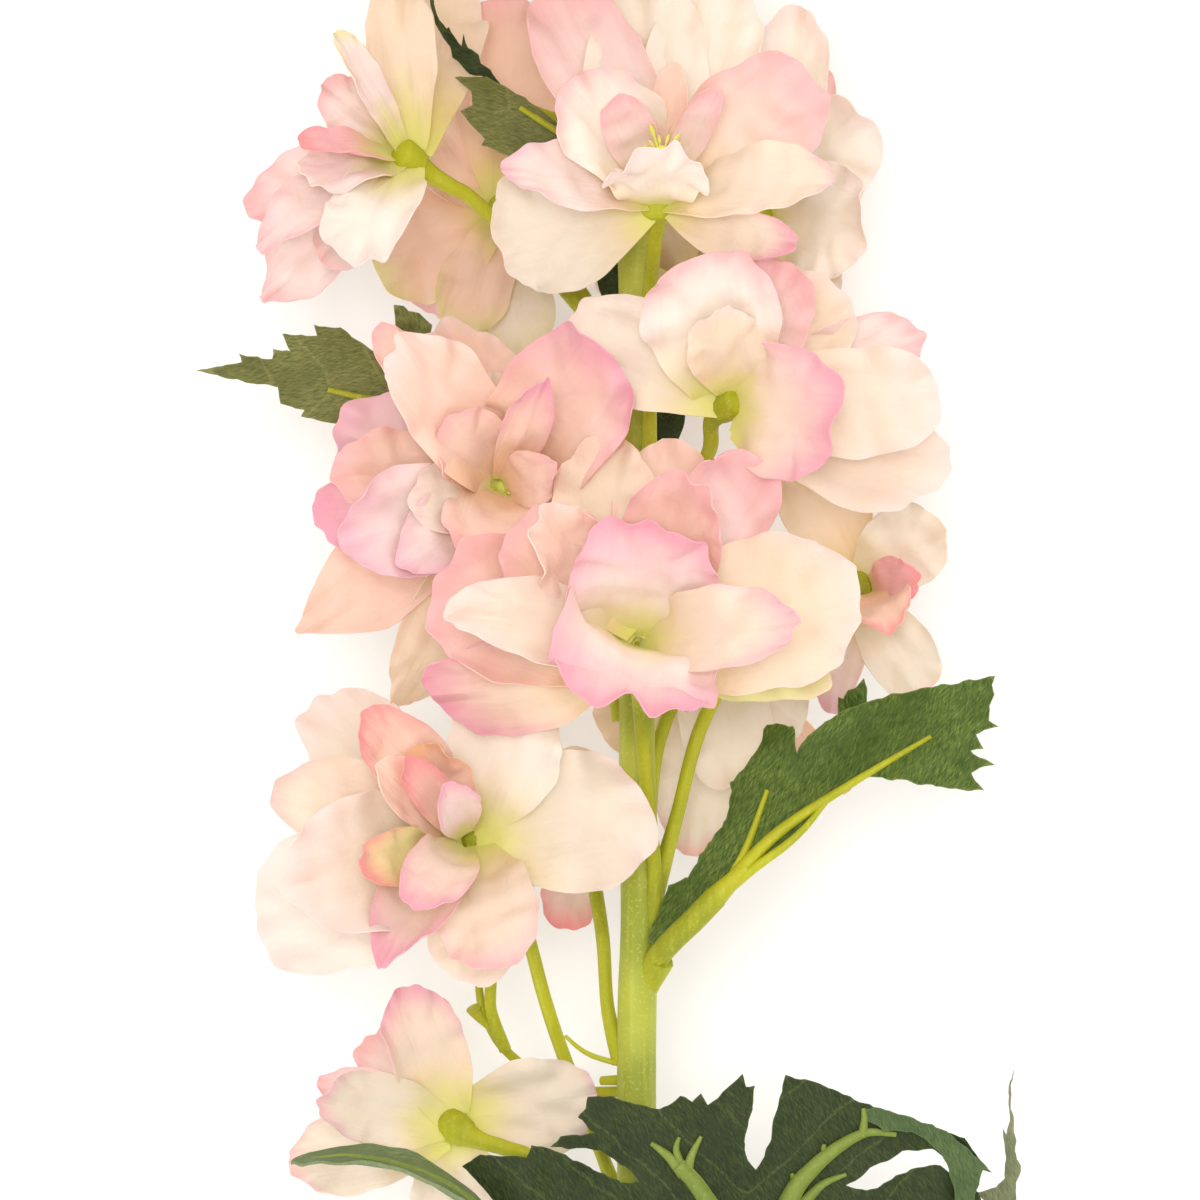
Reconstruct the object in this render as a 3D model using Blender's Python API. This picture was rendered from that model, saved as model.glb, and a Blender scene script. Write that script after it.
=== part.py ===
"""Artificial delphinium spike, lying on its back: one cut stem with its blooms, buds and leaves."""
import math
import random

import bmesh
import bpy
import numpy as np
from mathutils import Vector, geometry

MM = 0.001

# Layout: places in the visible stretch are steps across and down a grid, and millimetres in front
# of the stem's axis, as an eye sees them from straight above
GRID = 0.165 * MM
GRID_MIDDLE = 600
EYE_HEIGHT = 1000 * MM
STEM_LIFT = 48 * MM
SHIFT_Y = -3 * MM
UP = np.array((0.0, 0.0, 1.0))

# Main stem: distance along the spike, sideways, height above the surface, radius, in millimetres
STEM_PATH = (
    (-349, 7, 3.0, 3.25),
    (-318, 7, 3.0, 3.2),
    (-300, 7, 4.2, 3.2),
    (-270, 7, 10, 3.2),
    (-235, 6, 20, 3.2),
    (-195, 6, 32, 3.2),
    (-155, 6, 42, 3.2),
    (-110, 6, 47, 3.15),
    (-70, 6, 48, 3.15),
    (-52, 6.5, 48, 3.1),
    (-20, 6, 48, 2.9),
    (25, 6, 48, 2.6),
    (65, 5, 48, 2.4),
    (100, 2.5, 48, 2.3),
    (140, 0, 47, 2.1),
    (185, -1, 45.5, 1.9),
    (230, -1, 43.5, 1.7),
    (275, 0, 41, 1.5),
    (315, 1, 38, 1.2),
    (352, 2, 35, 0.9),
)
STEM_SIDES = 8
STALK_SIDES = 4
STALK_RADIUS = 1.0 * MM
CUP_RADIUS = 3.4 * MM
CUP_LENGTH = 8 * MM
CUP_TAPER = 0.7
SEAT_GAP = 0.3 * MM

# Blooms: petals are cut from fabric and stacked on a small base
PETAL_THICKNESS = 0.7 * MM
BASE_RADIUS = 3.0 * MM
BASE_TAPER = 0.7
BASE_LENGTH = 6.0 * MM
BASE_SIDES = 5
ROOT_RADIUS = 1.8 * MM
LAYER_STEP = 1.5 * MM
ROOT_WIDTH = 0.26
WIDEST = 0.58
ROWS = (0.0, 0.38, 0.76, 1.0)
COLUMNS = (-1.0, 0.0, 1.0)
TIP_WIDTH = 0.2
STEEPEST_CUP = 65
CURL_FROM = 0.65
SOLID_LAYERS = 2


def seen(across, down, height):
    """The point that shows at a grid place, height millimetres in front of the stem's axis."""
    nearer = 1 - height * MM / EYE_HEIGHT
    x = (across - GRID_MIDDLE) * GRID * nearer
    y = (GRID_MIDDLE - down) * GRID * nearer + SHIFT_Y
    return np.array((x, y, STEM_LIFT + height * MM))


def unit(vector):
    return np.asarray(vector, float) / np.linalg.norm(vector)


def turned(vector, about, degrees):
    """A vector turned about a unit axis."""
    angle = math.radians(degrees)
    along = about * (vector @ about)
    return along + (vector - along) * math.cos(angle) + np.cross(about, vector) * math.sin(angle)


# Each petal: tip across, down and height; width; roll of its face; bend of its length; lift of its
# left and right edges; curl of its tip; bluntness; layer
BLOOMS = {
    "a": {
        "seat": (413, 163, 8),
        "axis": (-0.85, 0.1, 0.5),
        "stalk": ((430, 172, 7), (470, 200, 4), (540, 262, 0), (612, 352, -1), (630, 420, 0)),
        "petals": (
            (385, -28, 10, 112, 10, 20, 30, 25, 0, 0.7, 0),
            (455, -40, -4, 115, 0, 20, 25, 20, 0, 0.6, 0),
            (372, 255, 26, 95, 10, 30, 30, 40, 0, 0.6, 0),
            (326, 268, 14, 85, 20, 25, 30, 20, 10, 0.8, 0),
            (338, 28, 20, 50, 30, 15, 50, 20, 0, 0.6, 1),
            (297, 142, 24, 48, 50, 10, 40, 20, 0, 0.7, 2),
            (322, 84, 12, 70, 20, 15, 30, 30, 0, 0.6, 1),
            (246, 212, 12, 88, 10, 15, 30, 20, 0, 0.9, 1),
            (262, 303, 4, 92, 20, 15, 20, 30, 0, 1.1, 0),
        ),
    },
    "b": {
        "seat": (657, 207, 15),
        "axis": (0.05, 0.62, 0.78),
        "stalk": ((655, 228, 10), (650, 300, 5), (650, 430, 4), (648, 520, 2)),
        "petals": (
            (485, 250, 12, 132, 0, 20, 20, 20, 0, 0.5, 0),
            (500, 168, 26, 75, 25, 25, 40, 20, 0, 0.8, 0),
            (645, 142, 36, 110, 10, 10, 40, 40, 0, 0.6, 0),
            (836, 182, 28, 90, -30, 20, 30, 50, 0, 0.8, 0),
            (806, 268, 22, 58, 10, 25, 20, 40, 10, 0.8, 0),
            (815, 78, 18, 130, 0, 20, 30, 30, 0, 0.5, 0),
            (642, -14, 4, 128, 0, 15, 25, 25, 0, 0.5, 0),
            (728, -24, -1, 112, 0, 15, 25, 25, 0, 0.5, 0),
            (548, -18, 6, 105, 10, 15, 25, 25, 0, 0.5, 0),
            (568, 80, 24, 110, 20, 20, 30, 30, 0, 0.5, 1),
            (612, 98, 36, 56, 10, -30, 30, 30, 0, 0.5, 2),
            (674, 62, 22, 40, 0, 0, 30, 30, 0, 0.5, 2),
            (716, 90, 30, 40, -10, -30, 30, 30, 0, 0.5, 2),
        ),
    },
    "c": {
        "seat": (752, 222, -12),
        "axis": (0.5, 0.3, -0.75),
        "stalk": ((722, 240, -6), (690, 280, -5), (662, 350, -4), (645, 420, -3)),
        "petals": (
            (864, 112, -8, 120, 0, -15, 20, 20, 0, 0.5, 0),
            (866, 225, -6, 125, 0, -15, 20, 20, 0, 0.5, 0),
            (800, 6, -12, 92, 0, -10, 20, 20, 0, 0.6, 0),
            (812, 325, -10, 110, 0, -10, 20, 20, 0, 0.5, 0),
            (820, 60, -20, 70, 0, -10, 20, 20, 0, 0.6, 1),
        ),
    },
    "d": {
        "seat": (724, 408, 15),
        "axis": (0.7, 0.45, 0.55),
        "stalk": ((718, 424, 12), (704, 462, 7), (672, 520, 3), (652, 590, 2)),
        "petals": (
            (538, 308, 13, 110, 0, 20, 15, 20, 10, 0.45, 0),
            (700, 248, 26, 145, -10, 15, 40, 25, 0, 0.5, 0),
            (790, 262, 22, 95, 0, 15, 25, 25, 0, 0.5, 0),
            (825, 372, 38, 150, 10, 20, 30, 45, 0, 0.6, 0),
            (943, 402, 16, 112, 0, 15, 20, 20, 0, 0.5, 1),
            (838, 288, 10, 112, 0, 15, 25, 25, 0, 0.5, 1),
            (922, 330, 4, 78, 0, 15, 25, 25, 0, 0.6, 0),
            (946, 482, 8, 118, 0, 15, 20, 20, 0, 0.5, 0),
        ),
    },
    "e": {
        "seat": (510, 508, 6),
        "axis": (-0.35, 0.25, 0.9),
        "stalk": ((525, 522, 2), (560, 560, -1), (605, 640, -2), (622, 720, -1)),
        "petals": (
            (378, 327, 10, 66, 20, 15, 30, 30, 0, 0.9, 0),
            (386, 340, 24, 96, 15, 20, 30, 20, 0, 1.0, 1),
            (432, 328, 4, 112, 0, 20, 20, 20, 0, 0.6, 0),
            (336, 425, 8, 112, 0, 20, 25, 25, 0, 0.5, 0),
            (332, 472, 18, 100, 10, 20, 30, 30, 0, 0.6, 1),
            (313, 517, 12, 100, 0, 20, 30, 30, 0, 0.5, 0),
            (344, 540, 22, 90, -10, 20, 30, 30, 0, 0.6, 1),
            (295, 634, 8, 100, 0, 20, 30, 30, 20, 1.2, 0),
            (605, 338, 24, 160, -15, 20, 30, 50, 0, 0.5, 0),
            (548, 380, 36, 62, 50, 10, 40, 40, 0, 0.8, 2),
            (414, 506, 30, 60, 0, 15, 40, 30, 0, 0.8, 2),
            (396, 740, 8, 84, 0, 20, 25, 25, 0, 0.9, 0),
            (440, 440, 30, 66, 10, 10, 40, 30, 0, 0.7, 2),
        ),
    },
    "f": {
        "seat": (637, 650, 20),
        "axis": (0.0, 0.55, 0.83),
        "stalk": ((640, 668, 15), (641, 720, 7), (648, 800, 4), (655, 870, 3), (652, 925, 1)),
        "petals": (
            (446, 614, 36, 100, 30, 25, 30, 25, 0, 0.8, 0),
            (800, 630, 36, 105, -30, 25, 25, 30, 0, 0.8, 0),
            (622, 716, 44, 178, 0, 55, 30, 45, 20, 0.45, 0),
            (410, 716, 18, 98, -15, 25, 20, 30, 0, 0.6, 0),
            (655, 522, 48, 145, 0, 10, 35, 35, 0, 0.6, 1),
            (540, 512, 42, 92, 20, -40, 40, 40, 0, 0.5, 1),
            (422, 588, 26, 155, 10, 20, 30, 20, 0, 0.5, 0),
            (592, 436, 18, 115, 0, 20, 25, 25, 0, 0.5, 0),
            (682, 436, 16, 105, 0, 15, 25, 25, 0, 0.5, 0),
            (692, 478, 34, 110, -10, -30, 35, 35, 0, 0.5, 1),
            (768, 444, 18, 100, 0, 20, 25, 25, 0, 0.5, 0),
            (860, 592, 24, 155, 0, 25, 20, 20, 0, 0.45, 0),
            (838, 668, 16, 84, 15, 20, 25, 20, 0, 0.6, 0),
        ),
    },
    "g": {
        "seat": (474, 838, 12),
        "axis": (-0.45, -0.05, 0.88),
        "stalk": (
            (492, 858, 7), (520, 910, 2), (545, 1000, -3), (566, 1062, -6), (604, 1160, -5), (630, 1230, -1),
        ),
        "petals": (
            (660, 802, 20, 148, 0, 20, 20, 20, 0, 0.45, 0),
            (532, 676, 12, 118, 0, 20, 20, 20, 0, 0.45, 0),
            (314, 706, 0, 112, 0, 20, 20, 20, 0, 0.45, 0),
            (362, 712, 26, 80, 20, 20, 40, 30, 0, 0.6, 1),
            (378, 762, 36, 60, 10, 10, 40, 30, 0, 0.7, 2),
            (272, 790, 22, 95, 10, 20, 30, 20, 0, 0.6, 0),
            (284, 880, 36, 142, 0, 15, 35, 35, 0, 0.5, 1),
            (258, 932, 12, 150, 0, 25, 20, 20, 0, 0.45, 0),
            (385, 966, 38, 66, 40, 20, 30, 50, 0, 0.8, 1),
            (478, 985, 14, 96, 0, 25, 20, 20, 0, 0.6, 0),
            (498, 970, 30, 108, 0, 30, 25, 25, 0, 0.55, 0),
            (356, 868, 46, 58, 0, 0, 40, 40, 0, 0.5, 2),
            (444, 776, 40, 56, 30, 10, 40, 30, 0, 0.7, 2),
        ),
    },
    "h": {
        "seat": (460, 1130, 0),
        "axis": (-0.5, 0.3, -0.8),
        "stalk": ((500, 1147, 5), (540, 1162, 3.5), (600, 1215, 1), (628, 1290, 0)),
        "petals": (
            (414, 985, 3, 88, 10, -15, 25, 30, 0, 0.6, 0),
            (362, 1044, -14, 84, 0, -15, 25, 25, 0, 0.6, 1),
            (320, 1098, 8, 80, 10, -15, 30, 20, 0, 0.7, 0),
            (317, 1080, -6, 60, 0, -15, 20, 20, 0, 0.9, 1),
            (288, 1166, -7, 88, 0, -15, 20, 20, 0, 0.7, 0),
            (598, 1098, 0, 104, 0, -20, 25, 20, 0, 0.6, 0),
            (458, 1240, -9, 94, 0, -20, 20, 20, 0, 0.5, 0),
        ),
    },
    "i": {
        "seat": (848, 590, -6),
        "axis": (0.85, 0.15, -0.2),
        "stalk": ((800, 602, -5), (756, 640, -2), (704, 720, 0), (676, 820, 0), (652, 905, 0)),
        "petals": (
            (940, 520, -2, 88, 0, 10, 20, 20, 0, 0.6, 0),
            (918, 576, 4, 54, 0, 10, 30, 30, 0, 0.6, 1),
            (886, 628, 8, 76, 0, 10, 30, 30, 0, 0.6, 1),
            (928, 694, -6, 74, 0, 10, 20, 20, 0, 0.6, 0),
            (802, 452, -6, 92, 0, 10, 20, 20, 0, 0.5, 0),
            (822, 718, -12, 50, 0, 10, 20, 20, 0, 0.6, 0),
        ),
    },
    "j": {
        "seat": (702, 650, -12),
        "axis": (0.35, 0.2, -0.9),
        "stalk": ((682, 672, -5), (668, 715, -4), (655, 760, -3), (645, 830, -2)),
        "petals": (
            (742, 788, -6, 98, 0, -15, 20, 20, 0, 0.5, 0),
            (690, 856, -16, 88, 0, -15, 20, 20, 0, 0.5, 0),
            (800, 730, -12, 88, 0, -15, 20, 20, 0, 0.5, 0),
            (848, 792, -20, 44, 0, -10, 20, 20, 0, 0.6, 0),
            (600, 742, -18, 84, 0, -10, 20, 20, 0, 0.5, 0),
        ),
    },
    "k": {
        "seat": (588, 838, -12),
        "axis": (-0.3, 0.35, -0.85),
        "stalk": ((604, 872, -5), (603, 940, -4), (608, 1010, -3), (622, 1062, -1)),
        "petals": (
            (564, 930, -14, 62, 0, -10, 20, 20, 0, 0.5, 0),
            (480, 850, -22, 90, 0, -10, 20, 20, 0, 0.5, 0),
            (550, 750, -22, 90, 0, -10, 20, 20, 0, 0.5, 0),
            (620, 800, -24, 60, 0, -10, 20, 20, 0, 0.5, 0),
        ),
    },
    "m": {
        "seat": (508, 214, -12),
        "axis": (-0.3, 0.3, -0.9),
        "stalk": ((530, 232, -5), (560, 262, -5), (604, 330, -4), (630, 400, -3)),
        "petals": (
            (372, 262, -16, 128, 0, -15, 20, 20, 0, 0.45, 0),
            (440, 118, -14, 104, 0, -15, 20, 20, 0, 0.5, 0),
            (502, -12, -10, 108, 0, -15, 20, 20, 0, 0.5, 0),
            (456, 336, -12, 78, 0, -15, 20, 20, 0, 0.6, 0),
            (512, 374, -18, 92, 0, -15, 20, 20, 0, 0.5, 0),
            (415, 306, -26, 84, 0, -10, 20, 20, 0, 0.5, 1),
        ),
    },
}


# Limbs moulded on the stem: the leaf that one lies on, its places on the grid from the stem
# outward, and radii at both ends. A place with no height lies just over the leaf.
LIMBS = (
    ("side", ((646, 972, 0), (652, 962, 7.2), (700, 906), (778, 832), (850, 784), (931, 736)), 1.9, 0.5),
    ("side", ((706, 898), (745, 850), (767, 790)), 1.1, 0.4),
    (None, ((652, 958, 2), (700, 926, 3), (745, 888, 3.5), (815, 818, 3), (859, 740, 1)), 1.0, 0.4),
    (None, ((640, 965, 1), (662, 962, 1), (669, 972, 1)), 2.2, 1.6),
    ("left", ((634, 395, 0), (560, 404, 3), (470, 404, 3), (404, 401), (369, 399), (328, 390)), 1.0, 0.4),
    (None, ((440, 404, 3), (415, 380, -1), (399, 354, -3)), 0.8, 0.5),
    ("upper", ((634, 175, 0), (600, 150, 2), (568, 138), (520, 108)), 1.0, 0.4),
    (None, ((636, 120, 0), (560, 118, -3), (501, 93, -4)), 0.9, 0.5),
    ("front", ((638, 1480, 0), (690, 1400, 7), (748, 1316), (735, 1250), (700, 1190), (672, 1146)), 2.0, 0.5),
    ("front", ((746, 1300), (800, 1200), (850, 1140), (872, 1128)), 1.5, 0.4),
    (None, ((632, 1500, 0), (580, 1380, 6), (540, 1290, 9), (521, 1257, 9)), 1.6, 0.8),
    (None, ((715, 1360, 7), (850, 1340, 3), (960, 1320, 2), (1011, 1292, 3)), 1.0, 0.5),
    ("lower_right", ((634, 1470, 0), (650, 1415, -3), (700, 1382), (830, 1331)), 1.2, 0.4),
    ("lower_left", ((634, 1520, 0), (618, 1455, -3), (570, 1418), (450, 1356)), 1.2, 0.4),
    (None, ((640, 345, 0), (641, 334, -7)), 0.8, 0.5),
    (None, ((642, 480, 0), (648, 472, -7)), 0.8, 0.5),
    (None, ((636, 1068, 0), (590, 1055, 0), (565, 1036, 1)), 0.5, 0.3),
    (None, ((628, 1080, -1), (601, 1081, -3)), 0.9, 0.7),
    (None, ((628, 1092, -2), (560, 1088, -8), (505, 1050, -7), (483, 1010, -5), (478, 975, -4)), 0.9, 0.6),
    (None, ((492, 1028, -6), (477, 1013, -5), (474, 1008, -4.6)), 0.8, 1.4),
)

# Leaves that show their outline: root, tip, heights of both, sideways tilt and fold, outline
LEAVES = {
    "left": (
        (400, 400, 1.0), (197, 371, 0.2), 0, -0.02,
        ((197, 371), (241, 362), (238, 354), (272, 360), (273, 350), (291, 351), (282, 334), (316, 337),
         (315, 325), (340, 328), (379, 354), (391, 395), (402, 401), (391, 407), (337, 424), (302, 416),
         (305, 411), (281, 403), (277, 387), (232, 379)),
    ),
    "upper": (
        (566, 140, 2.9), (455, 77, 2.0), 0, -0.03,
        ((455, 77), (487, 77), (525, 98), (564, 128), (566, 140), (564, 147), (509, 156), (482, 145),
         (485, 139), (460, 112), (473, 105), (471, 92)),
    ),
    "side": (
        (650, 944, 4.4), (997, 712, 15), 0.03, -0.03,
        ((648, 940), (667, 886), (689, 877), (703, 851), (728, 819), (731, 783), (755, 754), (767, 724),
         (785, 726), (794, 726), (797, 752), (810, 733), (835, 715), (867, 701), (912, 690), (964, 681),
         (995, 676), (989, 720), (998, 727), (976, 735), (983, 747), (971, 751), (993, 764), (971, 772),
         (985, 791), (946, 788), (903, 781), (856, 777), (790, 836), (720, 898), (660, 950)),
    ),
    "front": (
        (748, 1322, 8.6), (748, 1100, 11.5), 0, -0.008,
        ((463, 1167), (480, 1155), (527, 1157), (532, 1145), (561, 1153), (595, 1170), (622, 1184),
         (640, 1181), (625, 1167), (601, 1150), (551, 1148), (561, 1137), (595, 1133), (578, 1118),
         (586, 1108), (588, 1096), (608, 1096), (659, 1110), (681, 1096), (693, 1101), (701, 1094),
         (709, 1106), (742, 1074), (747, 1088), (755, 1086), (750, 1120), (743, 1140), (747, 1160),
         (757, 1169), (765, 1157), (777, 1110), (786, 1076), (824, 1085), (864, 1104), (917, 1122),
         (964, 1138), (981, 1161), (993, 1172), (960, 1166), (931, 1149), (903, 1151), (871, 1169),
         (847, 1186), (867, 1192), (910, 1169), (940, 1164), (978, 1192), (1000, 1236), (975, 1228),
         (968, 1246), (935, 1240), (930, 1262), (880, 1250), (850, 1290), (790, 1304), (748, 1322),
         (690, 1300), (620, 1262), (600, 1270), (560, 1232), (540, 1240), (500, 1205)),
    ),
    "lower_right": (
        (660, 1400, -6), (905, 1300, -14), 0, -0.03,
        ((660, 1400), (700, 1345), (742, 1330), (760, 1296), (792, 1312), (842, 1268), (846, 1292),
         (905, 1300), (872, 1326), (884, 1350), (838, 1350), (836, 1382), (780, 1374), (742, 1408),
         (700, 1404)),
    ),
    "lower_left": (
        (614, 1440, -6), (400, 1330, -16), 0, -0.03,
        ((614, 1440), (560, 1432), (530, 1448), (500, 1412), (456, 1418), (450, 1384), (410, 1378),
         (424, 1352), (400, 1330), (446, 1326), (452, 1300), (494, 1318), (516, 1296), (546, 1344),
         (586, 1376)),
    ),
}

# Narrow leaves seen on edge or from behind, as petals are listed, with their roots
STRAPS = {
    "arch": ((520, 1256, 9), (290, 1163, 12, 96, 76, 75, 15, 15, 0, 1.1, 0)),
    "fin": ((1012, 1290, 3), (1013, 1071, 8, 84, 84, 20, 15, 15, 0, 1.2, 0)),
    "tall": ((500, 92, -4), (430, -20, -3, 40, 20, 20, 20, 20, 0, 1.1, 0)),
    "tab": ((398, 352, -3), (393, 306, -2, 46, 0, 10, 10, 10, 0, 0.9, 0)),
    "back_one": ((640, 332, -7), (612, 246, -10, 52, 0, 10, 10, 10, 0, 0.8, 0)),
    "back_two": ((648, 470, -7), (672, 388, -10, 44, 0, 10, 10, 10, 0, 0.8, 0)),
    "shoulder": ((859, 740, 1), (868, 680, 2, 40, 0, 10, 10, 10, 0, 1.1, 0)),
}
LEAF_THICKNESS = 0.7 * MM
LEAF_OFFSET = 0.7 * MM
RIB_GAP = 0.4 * MM
FOLD_SHARES = (0.3, 0.6, 0.85)


def midrib(bend, curl, stations):
    """Places along a bent midrib whose ends are fixed, as complex numbers, and their slopes."""
    fine = np.linspace(0, 1, 41)
    late = np.clip((fine - CURL_FROM) / (1 - CURL_FROM), 0, 1)
    slope = math.radians(bend) * (0.5 - fine) + math.radians(curl) * late**2
    step = np.exp(1j * slope)
    run = np.concatenate(([0], np.cumsum((step[1:] + step[:-1]) / 2)))
    slope = slope - np.angle(run[-1])
    run = run / run[-1]
    place = np.interp(stations, fine, run.real) + 1j * np.interp(stations, fine, run.imag)
    return place, np.interp(stations, fine, slope)


def width_share(stations, blunt):
    """Half width of a petal along its length, as a share of its widest."""
    rising = ROOT_WIDTH + (1 - ROOT_WIDTH) * np.sin(np.pi / 2 * np.clip(stations / WIDEST, 0, 1))
    falling = np.cos(np.pi / 2 * np.clip((stations - WIDEST) / (1 - WIDEST), 0, 1)) ** blunt
    return np.maximum(np.where(stations < WIDEST, rising, falling), TIP_WIDTH)


def petal_root(bloom, petal):
    """Where a petal is fixed: on the side of the bloom's base that its tip points to."""
    out = petal["tip"] - bloom["seat"]
    sideways = out - bloom["axis"] * (out @ bloom["axis"])
    rise = SEAT_GAP + LAYER_STEP * (1 + petal["layer"])
    return bloom["seat"] + bloom["axis"] * rise + unit(sideways) * ROOT_RADIUS


def petal_surface(root, petal, stations, across):
    """Points of a petal's middle surface, one row for each station along it."""
    chord = petal["tip"] - root
    length = np.linalg.norm(chord)
    along = chord / length
    face = petal["face"] - along * (petal["face"] @ along)
    face = turned(unit(face), along, petal["roll"])
    side = np.cross(along, face)
    place, slope = midrib(petal["bend"], petal["curl"], stations)
    half = petal["width"] / 2 * width_share(stations, petal["blunt"])
    points = np.zeros((len(stations), len(across), 3))
    for row in range(len(stations)):
        middle = root + length * (along * place[row].real + face * place[row].imag)
        normal = face * math.cos(slope[row]) - along * math.sin(slope[row])
        for column, share in enumerate(across):
            lift = min(petal["left"] if share < 0 else petal["right"], STEEPEST_CUP)
            angle = max(math.radians(lift), 0.01)
            outward = half[row] * math.sin(angle * abs(share)) / angle * (1 if share > 0 else -1)
            raised = half[row] * (1 - math.cos(angle * abs(share))) / angle
            points[row, column] = middle + side * outward * (share != 0) + normal * raised
    return points


def listed_petals(rows):
    names = ("width", "roll", "bend", "left", "right", "curl", "blunt", "layer")
    petals = []
    for across, down, height, *rest in rows:
        petal = dict(zip(names, rest))
        petal["tip"] = seen(across, down, height)
        petal["width"] *= GRID
        petal["face"] = UP
        petals.append(petal)
    return petals


# Blooms laid by rule: place along the stem, turn about it, reach of the stalk and petal length, in
# millimetres and degrees, counted from straight right through straight up
RULED = {
    "n": (2, 240, 13, 22),
    "o": (40, 298, 16, 20),
    "p": (114, 222, 26, 32),
    "q": (131, 322, 27, 32),
    "r": (107, 98, 24, 32),
    "s": (138, 172, 24, 30),
    "t": (148, 35, 22, 29),
    "u": (166, 105, 20, 27),
    "v": (178, 222, 20, 25),
    "w": (192, 330, 18, 23),
    "x": (202, 70, 16, 21),
    "y": (216, 165, 15, 19),
    "z": (228, 290, 14, 17),
    "l": (239, 30, 12, 15),
}
OPENING = (76, 50, 26)
LAYER_SHARE = (1.0, 0.84, 0.6)
LAYER_WIDTH = (0.86, 0.74, 0.5)
LAYER_BEND = (34, 16, -18)
SPREAD = 0.72
SEED = 11

# Petals of different blooms press against each other and stay this far apart
GAP = 0.8 * MM
SOFTNESS = 3.5 * MM
SEAT_FREE = 6 * MM
STEM_GAP = 1.2 * MM
FLOOR_GAP = 1.5 * MM
SEAT_SHARE = 0.35
NEIGHBOUR_REACH = 2.2
SIDEWAYS_GIVE = (0.15, 0.15, 1.0)

# The two blooms that the spike lies on: sideways and along, where a petal presses on the surface
RESTING = {"p": (-32, 128), "q": (34, 145)}
PRESS_DEPTH = 11 * MM
FOOT_WIDTH = 26 * MM
PRESSED = 0.3 * MM

# Buds at the end of the spike
BUD_COUNT = 13
BUDS_FROM = 262
BUDS_TO = 346
BUD_TURN = 137.5
BUD_RADII = (4.6, 2.0)
BUD_REACH = (13, 3.5)
BUD_LENGTHS = (0.8, 1.9, 2.7)
BUD_WIDTHS = (1.0, 0.85, 0.15)
BUD_STALK_RADIUS = 0.8 * MM
BUD_SIDES = 5

# Colours of the plastic and of the two fabrics
STEM_GREEN = (0.42, 0.55, 0.08)
PETAL_CREAM = (0.93, 0.82, 0.72)
LEAF_GREEN = (0.05, 0.14, 0.04)


def stem_point(along):
    """The stem's middle and radius at a distance along the spike."""
    stations = [row[0] * MM for row in STEM_PATH]
    place = np.array([np.interp(along, stations, [row[i] * MM for row in STEM_PATH]) for i in (1, 2)])
    radius = np.interp(along, stations, [row[3] * MM for row in STEM_PATH])
    return np.array((place[0], along + SHIFT_Y, place[1])), radius


def ruled_bloom(along, turn, reach, length, layers, seed):
    """Seat, axis, stalk and petals of a bloom laid by rule."""
    dice = random.Random(seed)
    start, _ = stem_point(along * MM)
    angle = math.radians(turn)
    radial = np.array((math.cos(angle), 0, math.sin(angle)))
    forward = np.array((0, 1.0, 0))
    axis = unit(radial * 0.8 + forward * 0.6)
    seat = start + (radial + forward * SPREAD) * reach * MM
    stalk = [seat - axis * CUP_LENGTH - forward * MM, start + radial * reach * 0.3 * MM, start]
    first = unit(np.cross(axis, radial + UP * 0.01))
    second = np.cross(axis, first)
    petals = []
    for layer, count in enumerate(layers):
        for index in range(count):
            around = math.tau * (index + 0.5 * layer) / count + math.radians(dice.uniform(-8, 8))
            lean = math.radians(OPENING[layer] + dice.uniform(-7, 7))
            out = first * math.cos(around) + second * math.sin(around)
            size = length * LAYER_SHARE[layer] * dice.uniform(0.92, 1.08) * MM
            petal = {
                "tip": seat + (axis * math.cos(lean) + out * math.sin(lean)) * size,
                "width": length * LAYER_WIDTH[layer] * dice.uniform(0.92, 1.1) * MM,
                "face": axis,
                "roll": dice.uniform(-14, 14),
                "bend": LAYER_BEND[layer] + dice.uniform(-8, 8),
                "left": dice.uniform(18, 40),
                "right": dice.uniform(18, 40),
                "curl": dice.uniform(-4, 14),
                "blunt": dice.uniform(0.45, 0.7),
                "layer": layer,
            }
            petals.append(petal)
    return {"seat": seat, "axis": axis, "stalk": stalk, "petals": petals}


def all_blooms():
    """Every bloom with its places in metres."""
    blooms = {}
    for letter, row in BLOOMS.items():
        blooms[letter] = {
            "seat": seen(*row["seat"]),
            "axis": unit(row["axis"]),
            "stalk": [seen(*place) for place in row["stalk"]],
            "petals": listed_petals(row["petals"]),
        }
    for number, (letter, row) in enumerate(RULED.items()):
        layers = (5, 3) if row[3] > 24 else (5, 2)
        blooms[letter] = ruled_bloom(*row, layers, SEED + number)
    for letter, (sideways, along) in RESTING.items():
        foot = min(blooms[letter]["petals"], key=lambda petal: petal["tip"][2])
        foot["tip"] = np.array((sideways * MM, along * MM + SHIFT_Y, -PRESS_DEPTH))
        foot.update(width=FOOT_WIDTH, face=UP, roll=0, bend=-35, left=5, right=5, curl=-30)
    return blooms


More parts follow.
